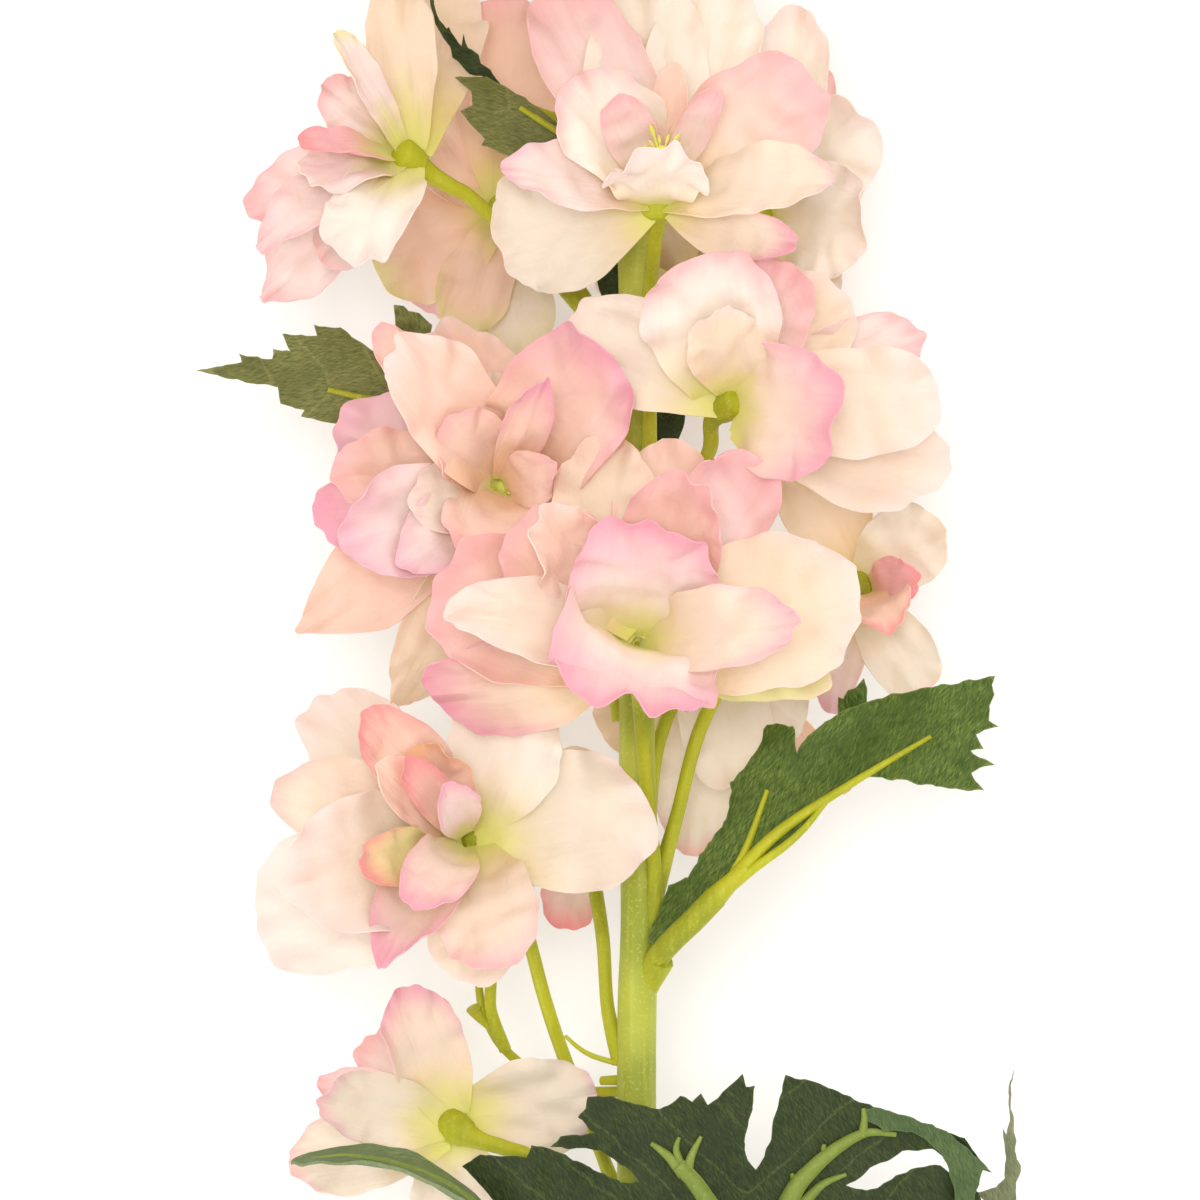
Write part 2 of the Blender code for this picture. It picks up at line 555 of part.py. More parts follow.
def territories(blooms):
    """Planes that keep each bloom's petals off its neighbours and off the stem."""
    middles = {}
    reaches = {}
    for letter, bloom in blooms.items():
        tips = np.array([petal["tip"] for petal in bloom["petals"]])
        middles[letter] = bloom["seat"] * SEAT_SHARE + tips.mean(axis=0) * (1 - SEAT_SHARE)
        reaches[letter] = np.linalg.norm(tips - middles[letter], axis=1).mean()
    for letter, bloom in blooms.items():
        planes = []
        here = middles[letter]
        for other in blooms:
            apart = here - middles[other]
            distance = np.linalg.norm(apart)
            if other == letter or distance > NEIGHBOUR_REACH * (reaches[letter] + reaches[other]):
                continue
            lean = (reaches[letter] ** 2 - reaches[other] ** 2) / distance
            planes.append((middles[other] + unit(apart) * (distance - lean) / 2, apart / distance))
        beside, radius = stem_point(here[1] - SHIFT_Y)
        off = (here - beside) * (1, 0, 1)
        planes.append((beside + unit(off) * (radius + STEM_GAP), unit(off)))
        bloom["resting"] = letter in RESTING
        if not bloom["resting"]:
            planes.append((UP * FLOOR_GAP, UP))
        bloom["planes"] = planes


def confined(points, bloom):
    """Points bent softly back inside a bloom's territory, mostly along the view."""
    for place, inward in bloom["planes"]:
        depth = (points - place) @ inward
        near = np.exp(np.minimum(depth - SOFTNESS, 0) / (SOFTNESS - GAP)) * (SOFTNESS - GAP) + GAP
        push = np.where(depth < SOFTNESS, near - depth, 0)
        free = (np.linalg.norm(points - bloom["seat"], axis=-1) - SEAT_FREE) / SEAT_FREE
        way = unit(inward * SIDEWAYS_GIVE)
        points = points + way * (push * np.clip(free, 0, 1) / (way @ inward))[..., None]
    if bloom["resting"]:
        points[..., 2] = np.maximum(points[..., 2], PETAL_THICKNESS / 2)
    return points


def add_object(name, verts, faces):
    """A new object with outward faces."""
    mesh = bpy.data.meshes.new(name)
    mesh.from_pydata([tuple(v) for v in verts], [], faces)
    shape = bmesh.new()
    shape.from_mesh(mesh)
    bmesh.ops.recalc_face_normals(shape, faces=shape.faces)
    shape.to_mesh(mesh)
    shape.free()
    item = bpy.data.objects.new(name, mesh)
    bpy.context.scene.collection.objects.link(item)
    return item


def tube(name, path, radii, sides):
    """A closed tube along a path of points."""
    path = [np.asarray(point, float) for point in path]
    verts = []
    faces = []
    ahead = unit(path[1] - path[0])
    first = unit(np.cross(ahead, UP) + np.array((1e-3, 0, 0)))
    for index, (point, radius) in enumerate(zip(path, radii)):
        before = path[max(index - 1, 0)]
        after = path[min(index + 1, len(path) - 1)]
        ahead = unit(after - before)
        first = unit(first - ahead * (first @ ahead))
        second = np.cross(ahead, first)
        for side in range(sides):
            angle = math.tau * (side + 0.5) / sides
            verts.append(point + (first * math.cos(angle) + second * math.sin(angle)) * radius)
    for ring in range(len(path) - 1):
        for side in range(sides):
            a = ring * sides + side
            b = ring * sides + (side + 1) % sides
            faces.append((a, b, b + sides))
            faces.append((a, b + sides, a + sides))
    last = (len(path) - 1) * sides
    for side in range(1, sides - 1):
        faces.append((0, side + 1, side))
        faces.append((last, last + side, last + side + 1))
    return add_object(name, verts, faces)


def blade(name, points, thickness):
    """A closed thin solid from a grid of points, with one point at each end, alike on both faces."""
    rows, columns, _ = points.shape
    normals = np.cross(np.gradient(points, axis=0), np.gradient(points, axis=1))
    normals /= np.linalg.norm(normals, axis=2, keepdims=True)
    middle = columns // 2
    kept = [(0, middle)]
    kept += [(row, column) for row in range(1, rows - 1) for column in range(columns)]
    kept.append((rows - 1, middle))
    front = [points[place] + normals[place] * thickness / 2 for place in kept]
    back = [points[place] - normals[place] * thickness / 2 for place in kept]
    last = len(kept) - 1
    skin = []
    for column in range(columns - 1):
        skin.append((0, 2 + column, 1 + column))
        skin.append((last, last - columns + column, last - columns + column + 1))
    for row in range(rows - 3):
        for column in range(columns - 1):
            a = 1 + row * columns + column
            skin.append((a, a + 1, a + columns + 1))
            skin.append((a, a + columns + 1, a + columns))
    left = [1 + row * columns for row in range(rows - 2)]
    right = [corner + columns - 1 for corner in left]
    rim = [0] + left + [last] + right[::-1]
    faces = list(skin)
    faces += [tuple(corner + last + 1 for corner in reversed(face)) for face in skin]
    for a, b in zip(rim, rim[1:] + rim[:1]):
        faces.append((a, b, b + last + 1))
        faces.append((a, b + last + 1, a + last + 1))
    return add_object(name, front + back, faces)


def fill_pockets(item):
    """Fill the closed pockets between petals, whose skins are apart from the outer skin."""
    shape = bmesh.new()
    shape.from_mesh(item.data)
    waiting = set(shape.faces)
    pockets = []
    while waiting:
        shell = {waiting.pop()}
        front = list(shell)
        while front:
            face = front.pop()
            for edge in face.edges:
                for other in edge.link_faces:
                    if other in waiting:
                        waiting.remove(other)
                        shell.add(other)
                        front.append(other)
        volume = 0
        for face in shell:
            first, *rest = [vertex.co for vertex in face.verts]
            for second, third in zip(rest, rest[1:]):
                volume += first.dot(second.cross(third)) / 6
        if volume < 0:
            pockets += list(shell)
    bmesh.ops.delete(shape, geom=pockets, context="FACES")
    shape.to_mesh(item.data)
    shape.free()


def join(name, pieces):
    """One solid from pieces that run into each other."""
    body = pieces[0]
    parts = bpy.data.collections.new(name + "_parts")
    bpy.context.scene.collection.children.link(parts)
    for piece in pieces[1:]:
        bpy.context.scene.collection.objects.unlink(piece)
        parts.objects.link(piece)
    union = body.modifiers.new("union", "BOOLEAN")
    union.operation = "UNION"
    union.operand_type = "COLLECTION"
    union.collection = parts
    union.solver = "MANIFOLD"
    bpy.context.view_layer.objects.active = body
    bpy.ops.object.modifier_apply(modifier=union.name)
    for piece in list(parts.objects):
        bpy.data.objects.remove(piece)
    bpy.data.collections.remove(parts)
    fill_pockets(body)
    body.name = name
    body.data.name = name
    return body


def leaf_height(leaf, place):
    """Height of a leaf's middle surface at a grid place: tilted and folded along its midrib."""
    root, tip, tilt, fold, _ = leaf
    start = np.array(root[:2], float)
    run = np.array(tip[:2], float) - start
    along = run / np.linalg.norm(run)
    offset = np.array(place[:2]) - start
    across = offset @ (-along[1], along[0])
    share = offset @ along / np.linalg.norm(run)
    return root[2] + (tip[2] - root[2]) * share + tilt * across + fold * abs(across)


def leaf_blade(name, leaf):
    """A closed leaf from its outline."""
    root, tip, _, _, margin = leaf
    start = np.array(root[:2], float)
    run = np.array(tip[:2], float) - start
    ribs = [start + run * share for share in FOLD_SHARES]
    flat = [Vector(point) for point in list(margin) + ribs]
    count = len(margin)
    rim = [(index, (index + 1) % count) for index in range(count)]
    flat, _, faces, *_ = geometry.delaunay_2d_cdt(flat, rim, [], 1, 1e-4)
    used = sorted({corner for face in faces for corner in face})
    flat = [flat[corner] for corner in used]
    faces = [[used.index(corner) for corner in face] for face in faces]
    verts = []
    for side in (0.5, -0.5):
        for point in flat:
            verts.append(seen(*point, leaf_height(leaf, point)) + UP * side * LEAF_THICKNESS)
    skin = [tuple(face) for face in faces]
    edges = {pair for face in skin for pair in zip(face, face[1:] + face[:1])}
    behind = len(flat)
    solid = list(skin)
    solid += [tuple(corner + behind for corner in reversed(face)) for face in skin]
    for a, b in edges:
        if (b, a) not in edges:
            solid.append((b, a, a + behind))
            solid.append((b, a + behind, b + behind))
    return add_object("leaf_" + name, verts, solid)


def strap_leaf(name, root, row):
    """A narrow leaf, shaped as a petal is."""
    petal = listed_petals([row])[0]
    base = seen(*root)
    start = base + unit(petal["tip"] - base) * LEAF_OFFSET
    points = petal_surface(start, petal, np.array(ROWS), COLUMNS)
    return blade("leaf_" + name, points, LEAF_THICKNESS)


def buds():
    """Closed buds on short stalks at the end of the spike."""
    pieces = []
    for number in range(BUD_COUNT):
        share = number / (BUD_COUNT - 1)
        along = (BUDS_FROM + (BUDS_TO - BUDS_FROM) * share) * MM
        angle = math.radians(BUD_TURN * (number + 1))
        radial = np.array((math.cos(angle), 0, math.sin(angle)))
        forward = np.array((0, 1.0, 0))
        start, _ = stem_point(along)
        reach = (BUD_REACH[0] + (BUD_REACH[1] - BUD_REACH[0]) * share) * MM
        size = (BUD_RADII[0] + (BUD_RADII[1] - BUD_RADII[0]) * share) * MM
        seat = start + (radial + forward * SPREAD) * reach
        way = unit(radial * 0.7 + forward * 0.7)
        path = [start, seat] + [seat + way * size * length for length in BUD_LENGTHS]
        radii = [BUD_STALK_RADIUS, BUD_STALK_RADIUS] + [size * width for width in BUD_WIDTHS]
        pieces.append(tube("bud", path, radii, BUD_SIDES))
    return pieces


def paint(item, colour, roughness):
    """One plain material on the whole of a piece."""
    material = bpy.data.materials.new(item.name)
    material.use_nodes = True
    shader = material.node_tree.nodes["Principled BSDF"]
    shader.inputs["Base Color"].default_value = (*colour, 1)
    shader.inputs["Roughness"].default_value = roughness
    item.data.materials.clear()
    item.data.materials.append(material)
    for face in item.data.polygons:
        face.material_index = 0


def make_bloom(letter, bloom):
    """The base and the petals of one bloom, as one piece."""
    seat = bloom["seat"] + bloom["axis"] * SEAT_GAP
    path = [seat, seat + bloom["axis"] * BASE_LENGTH]
    pieces = [tube("base", path, (BASE_RADIUS, BASE_RADIUS * BASE_TAPER), BASE_SIDES)]
    stations = np.array(ROWS)
    for petal in bloom["petals"]:
        if petal["layer"] < SOLID_LAYERS:
            points = petal_surface(petal_root(bloom, petal), petal, stations, COLUMNS)
            points = confined(points, bloom)
            pieces.append(blade("petal", points, PETAL_THICKNESS))
    flower = join("bloom_" + letter, pieces)
    if bloom["resting"]:
        for vertex in flower.data.vertices:
            if vertex.co.z < PRESSED:
                vertex.co.z = 0
    return flower


def make_stem(blooms):
    """The main stem with its stalks and cups, as one piece."""
    path = []
    for along, sideways, height, _ in STEM_PATH:
        path.append(np.array((sideways * MM, along * MM + SHIFT_Y, height * MM)))
    pieces = [tube("stem", path, [row[3] * MM for row in STEM_PATH], STEM_SIDES)]
    for bloom in blooms.values():
        seat = bloom["seat"]
        cup = [seat, seat - bloom["axis"] * CUP_LENGTH * 0.5, seat - bloom["axis"] * CUP_LENGTH]
        radii = [CUP_RADIUS, CUP_RADIUS * CUP_TAPER] + [STALK_RADIUS] * (1 + len(bloom["stalk"]))
        pieces.append(tube("stalk", cup + list(bloom["stalk"]), radii, STALK_SIDES))
    for leaf, places, start, end in LIMBS:
        shares = np.linspace(0, 1, len(places))
        radii = [(start + (end - start) * share) * MM for share in shares]
        path = []
        for place, radius in zip(places, radii):
            if len(place) == 3:
                path.append(seen(*place))
            else:
                over = LEAF_THICKNESS / 2 + RIB_GAP + radius
                path.append(seen(*place, leaf_height(LEAVES[leaf], place)) + UP * over)
        pieces.append(tube("limb", path, radii, STALK_SIDES))
    pieces += buds()
    return join("stem", pieces)


def main():
    for item in list(bpy.data.objects):
        bpy.data.objects.remove(item)
    blooms = all_blooms()
    territories(blooms)
    paint(make_stem(blooms), STEM_GREEN, 0.5)
    for letter, bloom in blooms.items():
        paint(make_bloom(letter, bloom), PETAL_CREAM, 0.8)
    for name, leaf in LEAVES.items():
        paint(leaf_blade(name, leaf), LEAF_GREEN, 0.7)
    for name, strap in STRAPS.items():
        paint(strap_leaf(name, *strap), LEAF_GREEN, 0.7)


main()
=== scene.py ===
import math
import random

import bpy
import numpy as np
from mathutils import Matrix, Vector, geometry


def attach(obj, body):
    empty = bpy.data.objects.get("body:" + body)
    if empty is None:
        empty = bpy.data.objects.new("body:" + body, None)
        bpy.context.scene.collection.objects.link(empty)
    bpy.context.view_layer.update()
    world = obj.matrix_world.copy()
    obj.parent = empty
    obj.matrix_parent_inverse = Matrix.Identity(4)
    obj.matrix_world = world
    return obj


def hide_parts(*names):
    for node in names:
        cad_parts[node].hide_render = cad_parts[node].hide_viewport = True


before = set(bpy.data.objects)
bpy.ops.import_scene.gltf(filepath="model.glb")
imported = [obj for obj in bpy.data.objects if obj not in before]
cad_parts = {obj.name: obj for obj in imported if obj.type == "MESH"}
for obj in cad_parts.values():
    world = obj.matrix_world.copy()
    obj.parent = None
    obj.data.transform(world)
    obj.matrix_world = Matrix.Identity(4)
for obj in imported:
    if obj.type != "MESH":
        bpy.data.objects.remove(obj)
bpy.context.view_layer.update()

# The main stem: a wire under soft yellow-green plastic, moulded in two halves, so a fine seam runs
# along it. It lies bent down to the table at its cut end and carries every stalk, bud and leaf.
MM = 0.001
SHIFT_Y = -3 * MM

# Distance along the spike, sideways, height above the table and radius, in millimetres
STEM_PATH = (
    (-349, 7, 3.0, 3.25),
    (-318, 7, 3.0, 3.2),
    (-300, 7, 4.2, 3.2),
    (-270, 7, 10, 3.2),
    (-235, 6, 20, 3.2),
    (-195, 6, 32, 3.2),
    (-155, 6, 42, 3.2),
    (-110, 6, 47, 3.15),
    (-70, 6, 48, 3.15),
    (-52, 6.5, 48, 3.1),
    (-20, 6, 48, 2.9),
    (25, 6, 48, 2.6),
    (65, 5, 48, 2.4),
    (100, 2.5, 48, 2.3),
    (140, 0, 47, 2.1),
    (185, -1, 45.5, 1.9),
    (230, -1, 43.5, 1.7),
    (275, 0, 41, 1.5),
    (315, 1, 38, 1.2),
    (352, 2, 35, 0.9),
)
STEM_SIDES = 32
STEM_STEPS = 10
SEAM = 0.05
PLASTIC = (0.68, 0.70, 0.25)
PLASTIC_PALE = (0.80, 0.81, 0.45)
PLASTIC_DEEP = (0.53, 0.57, 0.14)
SOFT_DEPTH = (0.0012, 0.0012, 0.0004)

# Edges that bend by more than this many degrees stay sharp
SHARP_FROM = 50


def dye(colour):
    """A colour as the eye sees it, turned into the light it gives back."""
    shares = [share / 12.92 if share < 0.04045 else ((share + 0.055) / 1.055) ** 2.4 for share in colour]
    return (*shares, 1.0)


class Wire:
    """The output of a node, which can stand in sums."""

    def __init__(self, bench, socket):
        self.bench = bench
        self.socket = socket

    def maths(self, operation, first, second=0.0):
        """The wire of a Math node on one or two values or wires."""
        return self.bench.node("ShaderNodeMath", {"operation": operation}, {0: first, 1: second})

    def __add__(self, other):
        return self.maths("ADD", self, other)

    __radd__ = __add__

    def __sub__(self, other):
        return self.maths("SUBTRACT", self, other)

    def __rsub__(self, other):
        return self.maths("SUBTRACT", other, self)

    def __mul__(self, other):
        return self.maths("MULTIPLY", self, other)

    __rmul__ = __mul__

    def __truediv__(self, other):
        return self.maths("DIVIDE", self, other)

    def __pow__(self, other):
        return self.maths("POWER", self, other)

    def wave(self):
        """A sine wave of the value."""
        return self.maths("SINE", self)

    def size(self):
        """The value without its sign."""
        return self.maths("ABSOLUTE", self)

    def rise(self, low, high):
        """0 below low, 1 above high, and smooth between."""
        inputs = {0: self, 1: low, 2: high, 3: 0.0, 4: 1.0}
        return self.bench.node("ShaderNodeMapRange", {"interpolation_type": "SMOOTHSTEP"}, inputs)

    def other(self, name):
        """Another output of the same node."""
        return Wire(self.bench, self.socket.node.outputs[name])


class Bench:
    """Where the nodes of one tree are put together."""

    def __init__(self, tree):
        self.tree = tree

    def node(self, kind, settings=None, inputs=None, output=0):
        """A node of a kind, given its settings first and then the values or wires of its sockets."""
        made = self.tree.nodes.new(kind)
        for name, value in (settings or {}).items():
            setattr(made, name, value)
        for name, value in (inputs or {}).items():
            if isinstance(value, Wire):
                self.tree.links.new(value.socket, made.inputs[name])
            else:
                made.inputs[name].default_value = value
        return Wire(self, made.outputs[output]) if len(made.outputs) else None

    def blend(self, share, first, second, way="MIX"):
        """Two colours mixed by a share."""
        settings = {"data_type": "RGBA", "blend_type": way}
        return self.node("ShaderNodeMix", settings, {0: share, 6: first, 7: second}, 2)

    def attribute(self, name, output="Fac"):
        """A number, colour or vector that the mesh carries."""
        return self.node("ShaderNodeAttribute", {"attribute_name": name}, None, output)

    def grain(self, scale, detail=2.0, vector=None, stretch=(1, 1, 1)):
        """Noise from 0 to 1 in the piece's own space."""
        if vector is None:
            vector = self.node("ShaderNodeTexCoord", None, None, "Object")
        mapped = self.node("ShaderNodeMapping", None, {"Vector": vector, "Scale": stretch})
        return self.node("ShaderNodeTexNoise", None, {"Vector": mapped, "Scale": scale, "Detail": detail})

    def parts(self, vector):
        """The three numbers of a vector."""
        first = self.node("ShaderNodeSeparateXYZ", None, {0: vector})
        return first, first.other("Y"), first.other("Z")

    def raised(self, height, distance, strength, under=None):
        """A relief, which may lie on another relief."""
        inputs = {"Height": height, "Distance": distance, "Strength": strength}
        if under is not None:
            inputs["Normal"] = under
        return self.node("ShaderNodeBump", None, inputs)


def finish_of(name):
    """An empty material and the bench for its nodes."""
    material = bpy.data.materials.new(name)
    material.use_nodes = True
    material.node_tree.nodes.clear()
    return material, Bench(material.node_tree)


def close_finish(bench, shader):
    """End a material in its shader."""
    bench.node("ShaderNodeOutputMaterial", None, {"Surface": shader})


def moulded_plastic(name, main, pale, deep, hair):
    """Soft plastic with a lighter seam, uneven dye and the dull skin that a mould leaves."""
    material, bench = finish_of(name)
    around = bench.parts(bench.attribute("round", "Vector"))[0]
    along = bench.attribute("run")
    cloud = bench.grain(60, 3)
    streaks = bench.grain(900, 2, stretch=(1, 0.06, 1))
    seam = around.rise(0.955, 0.995)
    colour = bench.blend(cloud.rise(0.35, 0.75), dye(main), dye(deep))
    speck = bench.grain(1900, 2).rise(0.56, 0.7)
    colour = bench.blend(streaks.rise(0.4, 0.85) * 0.3 + seam * 0.3 + speck * 0.3, colour, dye(pale))
    skin = streaks * 0.6 + bench.grain(2600, 2) * 0.4
    height = bench.raised(skin, hair, 0.7)
    height = bench.raised((along * 900).wave() * (1 - seam), 0.00001, 0.3, height)
    inputs = {
        "Base Color": colour,
        "Roughness": 0.5 + streaks * 0.16,
        "Normal": height,
        "Subsurface Weight": 0.12,
        "Subsurface Radius": SOFT_DEPTH,
        "Specular IOR Level": 0.35,
    }
    close_finish(bench, bench.node("ShaderNodeBsdfPrincipled", None, inputs))
    return material


stem_finish = moulded_plastic("stem plastic", PLASTIC, PLASTIC_PALE, PLASTIC_DEEP, 0.00006)


def growing_tree(name, entries):
    """An empty Geometry Nodes tree, its bench, and a wire of its named inputs."""
    tree = bpy.data.node_groups.new(name, "GeometryNodeTree")
    tree.is_modifier = True
    for label, kind in entries:
        tree.interface.new_socket(label, in_out="INPUT", socket_type="NodeSocket" + kind)
    tree.interface.new_socket("Mesh", in_out="OUTPUT", socket_type="NodeSocketGeometry")
    bench = Bench(tree)
    return tree, bench, bench.node("NodeGroupInput")


def close_tree(bench, mesh, finish):
    """End a tree in one plain mesh of one finish."""
    mesh = bench.node("GeometryNodeRealizeInstances", None, {"Geometry": mesh})
    mesh = bench.node("GeometryNodeSetMaterial", None, {"Geometry": mesh, "Material": finish})
    bench.node("NodeGroupOutput", None, {"Mesh": mesh})


def tube_tree():
    """Sweeps a round moulded profile with one raised seam along every path of a wire frame."""
    entries = (
        ("Paths", "Geometry"),
        ("Sides", "Int"),
        ("Steps", "Int"),
        ("Seam", "Float"),
        ("Material", "Material"),
    )
    tree, bench, paths = growing_tree("moulded tube", entries)
    curve = bench.node("GeometryNodeMeshToCurve", None, {"Mesh": paths})
    curve = bench.node("GeometryNodeCurveSplineType", {"spline_type": "CATMULL_ROM"}, {"Curve": curve})
    inputs = {"Geometry": curve, "Resolution": paths.other("Steps")}
    curve = bench.node("GeometryNodeSetSplineResolution", None, inputs)
    factor = bench.node("GeometryNodeSplineParameter", None, None, "Length")
    inputs = {"Geometry": curve, "Name": "run", "Value": factor}
    curve = bench.node("GeometryNodeStoreNamedAttribute", {"data_type": "FLOAT"}, inputs)
    inputs = {"Resolution": paths.other("Sides"), "Radius": 1.0}
    profile = bench.node("GeometryNodeCurvePrimitiveCircle", None, inputs)
    place = bench.node("GeometryNodeInputPosition")
    crest = bench.parts(place)[0].rise(0.93, 1.0) * paths.other("Seam")
    scale = {"operation": "SCALE"}
    offset = bench.node("ShaderNodeVectorMath", scale, {0: place, 3: crest})
    profile = bench.node("GeometryNodeSetPosition", None, {"Geometry": profile, "Offset": offset})
    inputs = {"Geometry": profile, "Name": "round", "Value": place}
    settings = {"data_type": "FLOAT_VECTOR"}
    profile = bench.node("GeometryNodeStoreNamedAttribute", settings, inputs)
    girth = bench.node("GeometryNodeInputNamedAttribute", {"data_type": "FLOAT"}, {"Name": "girth"})
    inputs = {"Curve": curve, "Profile Curve": profile, "Scale": girth, "Fill Caps": True}
    mesh = bench.node("GeometryNodeCurveToMesh", None, inputs)
    close_tree(bench, mesh, paths.other("Material"))
    return tree


def placed(name, data):
    """An object with some data, put in the scene."""
    item = bpy.data.objects.new(name, data)
    bpy.context.scene.collection.objects.link(item)
    return item


def wire_frame(name, paths, girths):
    """A mesh of paths only, each point with its radius."""
    verts = []
    edges = []
    sizes = []
    for path, girth in zip(paths, girths):
        start = len(verts)
        verts += [tuple(point) for point in path]
        sizes += list(girth)
        edges += [(start + i, start + i + 1) for i in range(len(path) - 1)]
    mesh = bpy.data.meshes.new(name)
    mesh.from_pydata(verts, edges, [])
    mesh.attributes.new("girth", "FLOAT", "POINT").data.foreach_set("value", sizes)
    return placed(name, mesh)


def grow(item, tree, settings):
    """Give a piece the plain mesh that a tree makes of it, and take the tree off."""
    modifier = item.modifiers.new(tree.name, "NODES")
    modifier.node_group = tree
    for entry in tree.interface.items_tree:
        if entry.in_out == "INPUT" and entry.name in settings:
            modifier[entry.identifier] = settings[entry.name]
    evaluated = item.evaluated_get(bpy.context.evaluated_depsgraph_get())
    mesh = bpy.data.meshes.new_from_object(evaluated)
    item.modifiers.remove(modifier)
    item.data = mesh
    mesh.name = item.name
    smooth_skin(mesh)


def smooth_skin(mesh):
    """Smooth shading, apart from sharp edges."""
    mesh.shade_smooth()
    mesh.set_sharp_from_angle(angle=math.radians(SHARP_FROM))


def settle(item):
    """Put a finished piece on the spike."""
    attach(item, "root")


tube = tube_tree()
stem_line = []
for along, sideways, height, _ in STEM_PATH:
    stem_line.append((sideways * MM, along * MM + SHIFT_Y, height * MM))
main_stem = wire_frame("main_stem", [stem_line], [[row[3] * MM for row in STEM_PATH]])
grow(main_stem, tube, {"Sides": STEM_SIDES, "Steps": STEM_STEPS, "Seam": SEAM, "Material": stem_finish})
settle(main_stem)
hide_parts("stem")

# Petals: satin-like fabric cut to rounded shapes, heat-pressed so that they cup and their edges
# wave, dyed cream with pink, peach or lilac edges and a yellow-green root, and stacked in layers.
GRID = 0.165 * MM
GRID_MIDDLE = 600
EYE_HEIGHT = 1000 * MM
STEM_LIFT = 48 * MM
UP = np.array((0.0, 0.0, 1.0))
AHEAD = np.array((0.0, 1.0, 0.0))
TONES = {
    "white": (0.945, 0.905, 0.845),
    # pearl, the lightest, is given to petals that lie back in shade, such as bloom c's, to lift them:
    # there it is painted light; on front petals it is their near-white
    "pearl": (0.985, 0.955, 0.915),
    "ivory": (0.965, 0.905, 0.84),
    "cream": (0.96, 0.89, 0.80),
    "blush": (0.975, 0.905, 0.885),
    "peach": (0.98, 0.865, 0.80),
    "pink": (0.97, 0.765, 0.775),
    "rose": (0.96, 0.61, 0.625),
    "lilac": (0.935, 0.745, 0.80),
    "orchid": (0.94, 0.67, 0.75),
    "lemon": (0.935, 0.91, 0.66),
    "orange": (0.96, 0.77, 0.58),
}
# How far a bloom's yellow-green runs up its petals, and how much more than usual their edges wave
LIMES = {"a": 0.55, "b": 0.3, "c": 0.3, "d": 0.38, "e": 0.12, "f": 0.38, "g": 0.4, "h": 0.5, "m": 0.35}
PLAIN_LIME = 0.2
FRILLS = {"a": 1.2, "b": 1.1, "e": 1.25, "f": 1.15, "g": 1.05, "h": 1.2}
# Painted shade: a warm tint multiplied into the petals toward their roots, for the warm bounced light
# deep in a bloom
PAINTED_SHADE_TINT = (0.985, 0.95, 0.79)
THROUGH_DYE = (1.0, 0.965, 0.91)
THREAD_DYE = (0.93, 0.85, 0.78)
ROOT_DYE = (0.91, 0.91, 0.48)
WARP = 520
WEFT = 700
LIGHT_THROUGH = 0.28
PETAL_THICKNESS = 0.24 * MM
CRUMPLE = 0.11 * MM
CRUMPLE_PITCH = 7 * MM
CRUMPLES = 5
CURL_FROM = 0.65
PRESS_FROM = 0.35
EDGE_FROM = 0.3
TIP_SHARE = 0.62
STATIONS = 32
ACROSS = 21
RULED_STATIONS = 24
RULED_ACROSS = 15
SEAT_GAP = 0.3 * MM
ROOT_RADIUS = 1.3 * MM
ROOT_RADII = {"f": 0.5 * MM}
LAYER_STEP = 1.5 * MM
ROOT_WIDTH = 0.33
ROOT_WIDTHS = {"a": 0.5, "d": 0.42, "e": 0.45, "f": 0.42, "h": 0.4}
WIDEST = 0.58
RIM_TURN = 1.8
STEEPEST_CUP = 65
RUFFLE = 0.07
NICK_SHARE = 0.4

